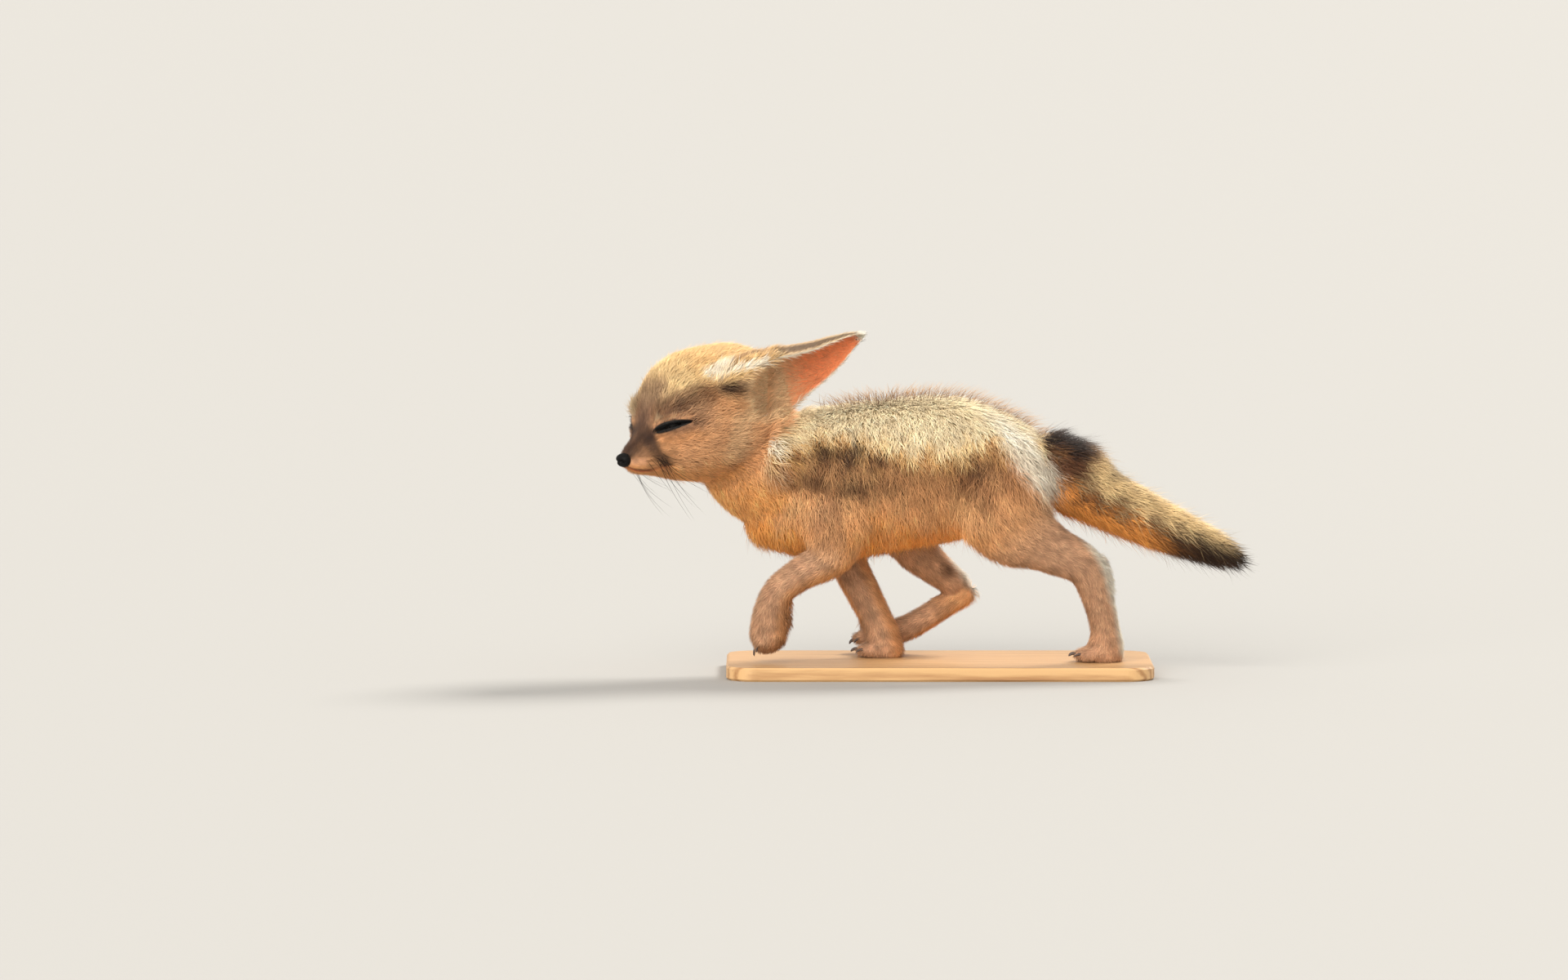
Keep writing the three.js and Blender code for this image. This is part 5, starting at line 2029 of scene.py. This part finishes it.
@dataclass(frozen=True)
class WetFinish(CoatFinish):
    """The finish of the eyes, nose and claws: dark, finely grained, with a moist coat."""

    tint: Tint
    coat: float
    shine: float

    RELIEF = 0.0004

    def gloss(self) -> dict[str, float]:
        """The values of the shader that stay the same all over."""
        return {"Coat Weight": self.coat, "Coat Roughness": 0.12, "Specular IOR Level": self.shine}

    def colour(self, nodes: Nodes, tone: Node) -> None:
        """Gives the tone its colour."""
        tone.inputs["Colour"].default_value = self.tint.rgba


@dataclass(frozen=True)
class OakFinish:
    """The finish of the display base: oiled oak with long grain."""

    name: str = "oiled_oak"
    ring_scale: float = 62.0
    pore_scale: float = 900.0
    pore_share: float = 0.6
    stretch: float = 0.08

    def material(self) -> Material:
        """Builds the material."""
        made, nodes, shader = new_material(self.name)
        where = nodes.add("ShaderNodeTexCoord")
        place = nodes.add("ShaderNodeMapping", Scale=(self.stretch, 1.0, 1.0))
        rings = nodes.add(
            "ShaderNodeTexWave", bands_direction="Y", Scale=self.ring_scale, Distortion=9.0,
            Detail=4.0, Detail_Scale=0.8,
        )
        pores = nodes.add("ShaderNodeTexNoise", Scale=self.pore_scale, Detail=3.0)
        mixed = nodes.add("ShaderNodeMath", operation="MULTIPLY_ADD")
        mixed.inputs[1].default_value = self.pore_share
        colours = nodes.add("ShaderNodeValToRGB")
        for stop, tint in zip(colours.color_ramp.elements, (Tint.OAK_DARK, Tint.OAK_PALE)):
            stop.color = tint.rgba
        rough = nodes.add("ShaderNodeMapRange", To_Min=0.38, To_Max=0.55)
        bump = nodes.add("ShaderNodeBump", Strength=0.25, Distance=0.0003)
        nodes.link(where, "Object", place, "Vector")
        nodes.link(place, "Vector", rings, "Vector")
        nodes.link(place, "Vector", pores, "Vector")
        nodes.link(pores, "Fac", mixed, 0)
        nodes.link(rings, "Fac", mixed, 2)
        nodes.link(mixed, 0, colours, "Fac")
        nodes.link(colours, "Color", shader, "Base Color")
        nodes.link(pores, "Fac", rough, "Value")
        nodes.link(rough, "Result", shader, "Roughness")
        nodes.link(mixed, 0, bump, "Height")
        nodes.link(bump, "Normal", shader, "Normal")
        return made


@dataclass
class Studio:
    """The pale floor, the soft lights and the camera."""

    view_centre: Triple = (-91.2, 0.0, 107.8)
    elevation: float = math.radians(4.0)
    view_width: float = 921.6
    lens: float = 200.0
    sensor: float = 36.0
    floor_half: float = 60.0

    def camera(self) -> None:
        """Sets the camera at the photograph's angle."""
        data = bpy.data.cameras.new("camera")
        data.lens = self.lens
        data.sensor_width = self.sensor
        data.clip_end = 200.0
        camera = placed("camera", data)
        far = self.view_width * MM * self.lens / self.sensor
        back = Vector((0.0, -math.cos(self.elevation), math.sin(self.elevation)))
        camera.location = Vector(self.view_centre) * MM + back * far
        camera.rotation_euler = (-back).to_track_quat("-Z", "Y").to_euler()
        bpy.context.scene.camera = camera

    def floor(self) -> None:
        """Lays the pale floor."""
        bm = bmesh.new()
        bmesh.ops.create_grid(bm, x_segments=8, y_segments=8, size=self.floor_half)
        floor = placed("floor", mesh_from(bm, "floor"))
        made, _, shader = new_material("pale_floor")
        shader.inputs["Base Color"].default_value = Tint.FLOOR.rgba
        shader.inputs["Roughness"].default_value = 0.85
        floor.data.materials.append(made)

    def lamp(self, name: str, source: Triple, angle: float,
             strength: float, colour: Triple) -> None:
        """Adds a wide, far light.

        Args:
            name: Its name.
            source: The direction that the light comes from.
            angle: How wide it is in degrees, which makes its shadows soft.
            strength: Its strength in watts on each square metre.
            colour: Its colour.
        """
        data = bpy.data.lights.new(name, "SUN")
        data.angle = math.radians(angle)
        data.energy = strength
        data.color = colour
        placed(name, data).rotation_euler = Vector(source).to_track_quat("Z", "Y").to_euler()

    def lights(self) -> None:
        """Lights the fox softly, brightest from above and behind its tail."""
        self.lamp("key", (0.9, 0.9, 1.2), 20.0, 3.2, (1.0, 0.95, 0.88))
        self.lamp("fill", (-0.9, -2.0, 1.2), 55.0, 3.3, (1.0, 0.94, 0.86))
        world = bpy.data.worlds.new("soft_room")
        world.use_nodes = True
        background = world.node_tree.nodes["Background"]
        background.inputs["Color"].default_value = (1.0, 0.96, 0.91, 1.0)
        background.inputs["Strength"].default_value = 0.82
        bpy.context.scene.world = world
        bpy.context.scene.view_settings.view_transform = "Standard"

    def build(self) -> None:
        """Builds the stage."""
        self.camera()
        self.floor()
        self.lights()


@dataclass
class Fox:
    """The whole dressed fox."""

    plan: BodyPlan = field(default_factory=BodyPlan)
    skin_shade: float = 0.8
    long_hair: float = 6.0
    trunk_split: float = -22.0
    head_split: float = -9.0

    def build(self) -> None:
        """Builds the skin, the coat and the small parts."""
        tone = hair_tone()
        skin_finish = CoatFinish("skin", tone, 700.0, 0.5, 0.5).material()
        fur_finish = CoatFinish("fur", tone, 260.0, 0.5, 0.0).material()
        eye_finish = WetFinish("wet_eye", tone, 300.0, 0.8, 0.0, Tint.JET, 0.03, 0.05).material()
        nose = WetFinish("nose_leather", tone, 2600.0, 0.8, 0.6, Tint.JET, 0.04, 0.14)
        nose_finish = nose.material()
        claw_finish = WetFinish("claw_horn", tone, 500.0, 0.8, 0.1, Tint.CLAW, 0.3, 0.5).material()
        skin = Skin(self.plan)
        mesh = skin.mesh()
        ground = skin.grown(mesh)
        store_colour(mesh, ground.pelt * self.skin_shade)
        finish_piece("skin", mesh, skin_finish, (
            "head", "neck", "torso", "left_foreleg", "right_foreleg", "left_hind_leg",
            "right_hind_leg", "tail",
        ))
        for eye in skin.eyes:
            eye.ball(eye_finish)
        Nose(skin.head).build(nose_finish)
        Whiskers(skin.head, skin.skull).build(nose_finish)
        Claws(skin.toe_frames()).build(claw_finish)
        skin.ears.build(skin_finish, fur_finish, skin.pelt)
        self.coats(skin, ground, fur_finish)

    def coats(self, skin: Skin, ground: Ground, finish: Material) -> None:
        """Grows the coat in stretches."""
        corner = ground.triangles[:, 0]
        kinds, owner = skin.kinds[corner], skin.owner[corner]
        x, y, _ = ground.places[corner].T
        limbs = (kinds == Kind.FORELEG.value) | (kinds == Kind.HIND_LEG.value)
        long = ground.length[corner] > self.long_hair
        trunk = (kinds == Kind.TORSO.value) | (limbs & long)
        left, front = y < 0, x < self.trunk_split
        short = limbs & ~long
        head, head_left = kinds == Kind.HEAD.value, y < self.head_split
        stretches = [
            ("coat_shoulder_left", "coat_pale", LONG_CUT, trunk & left & front),
            ("coat_shoulder_right", "coat_pale", LONG_CUT, trunk & ~left & front),
            ("coat_flank_left", "coat_pale", LONG_CUT, trunk & left & ~front),
            ("coat_flank_right", "coat_pale", LONG_CUT, trunk & ~left & ~front),
            ("coat_neck", "coat_pale", LONG_CUT, kinds == Kind.NECK.value),
            ("coat_head_left", "coat_pale", FLEECE_CUT, head & long & head_left),
            ("coat_head_right", "coat_pale", FLEECE_CUT, head & long & ~head_left),
            ("coat_face", "coat_pale", SHORT_CUT, head & ~long),
            ("coat_tail", "coat_tail", LONG_CUT, kinds == Kind.TAIL.value),
            ("coat_left_foreleg", "coat_tawny", SHORT_CUT, short & (owner == 0)),
            ("coat_right_foreleg", "coat_tawny", SHORT_CUT, short & (owner == 1)),
            ("coat_left_hind_leg", "coat_tawny", SHORT_CUT, short & (owner == 2)),
            ("coat_right_hind_leg", "coat_tawny", SHORT_CUT, short & (owner > 2)),
        ]
        for seed, (name, slot, cut, chosen) in enumerate(stretches):
            Coat(name, slot, cut, 100 + seed).build(ground, chosen, finish)
        self.guard_hairs(skin, ground, finish)

    def guard_hairs(self, skin: Skin, ground: Ground, finish: Material) -> None:
        """Grows the brown hairs that stand up along the back, and strays all over."""
        x, y, _ = ground.places.T
        spine = ramp(np.abs(y), 8, 2) * ramp(x, -74, -48) * ramp(x, 76, 62)
        spine = spine * (ground.normals[:, 2] > 0.5) * (skin.kinds == Kind.TORSO.value)
        size = len(x)
        brown = np.tile(Tint.GREY_BROWN.linear, (size, 1))
        gold = np.tile(Tint.GOLD.linear, (size, 1))
        ridge = replace(
            ground, length=np.full(size, 17.0), rise=np.full(size, 13.0),
            width=np.full(size, 0.27), density=0.85 * spine, pelt=brown, tips=gold,
        )
        everywhere = np.ones(len(ground.triangles), bool)
        Coat("coat_guard_hairs", "coat_tail", STRAY_CUT, 201).build(ridge, everywhere, finish)
        share = np.array([0.07, 0.1, 0.2, 0.1, 0.1, 0.2])[skin.kinds]
        strays = replace(
            ground, length=ground.length * 1.3, rise=ground.rise * 1.7,
            width=np.full(size, 0.22), density=share * ramp(ground.length, 3.4, 7.0),
        )
        Coat("coat_stray_hairs", "coat_pale", STRAY_CUT, 202).build(strays, everywhere, finish)


def main() -> None:
    """Builds the fox, its base's finish and the studio."""
    logging.basicConfig(level=logging.INFO, format="%(message)s")
    Studio().build()
    Fox().build()
    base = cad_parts["stand_base"]
    base.material_slots[0].material = OakFinish().material()


if __name__ == "__main__":
    main()
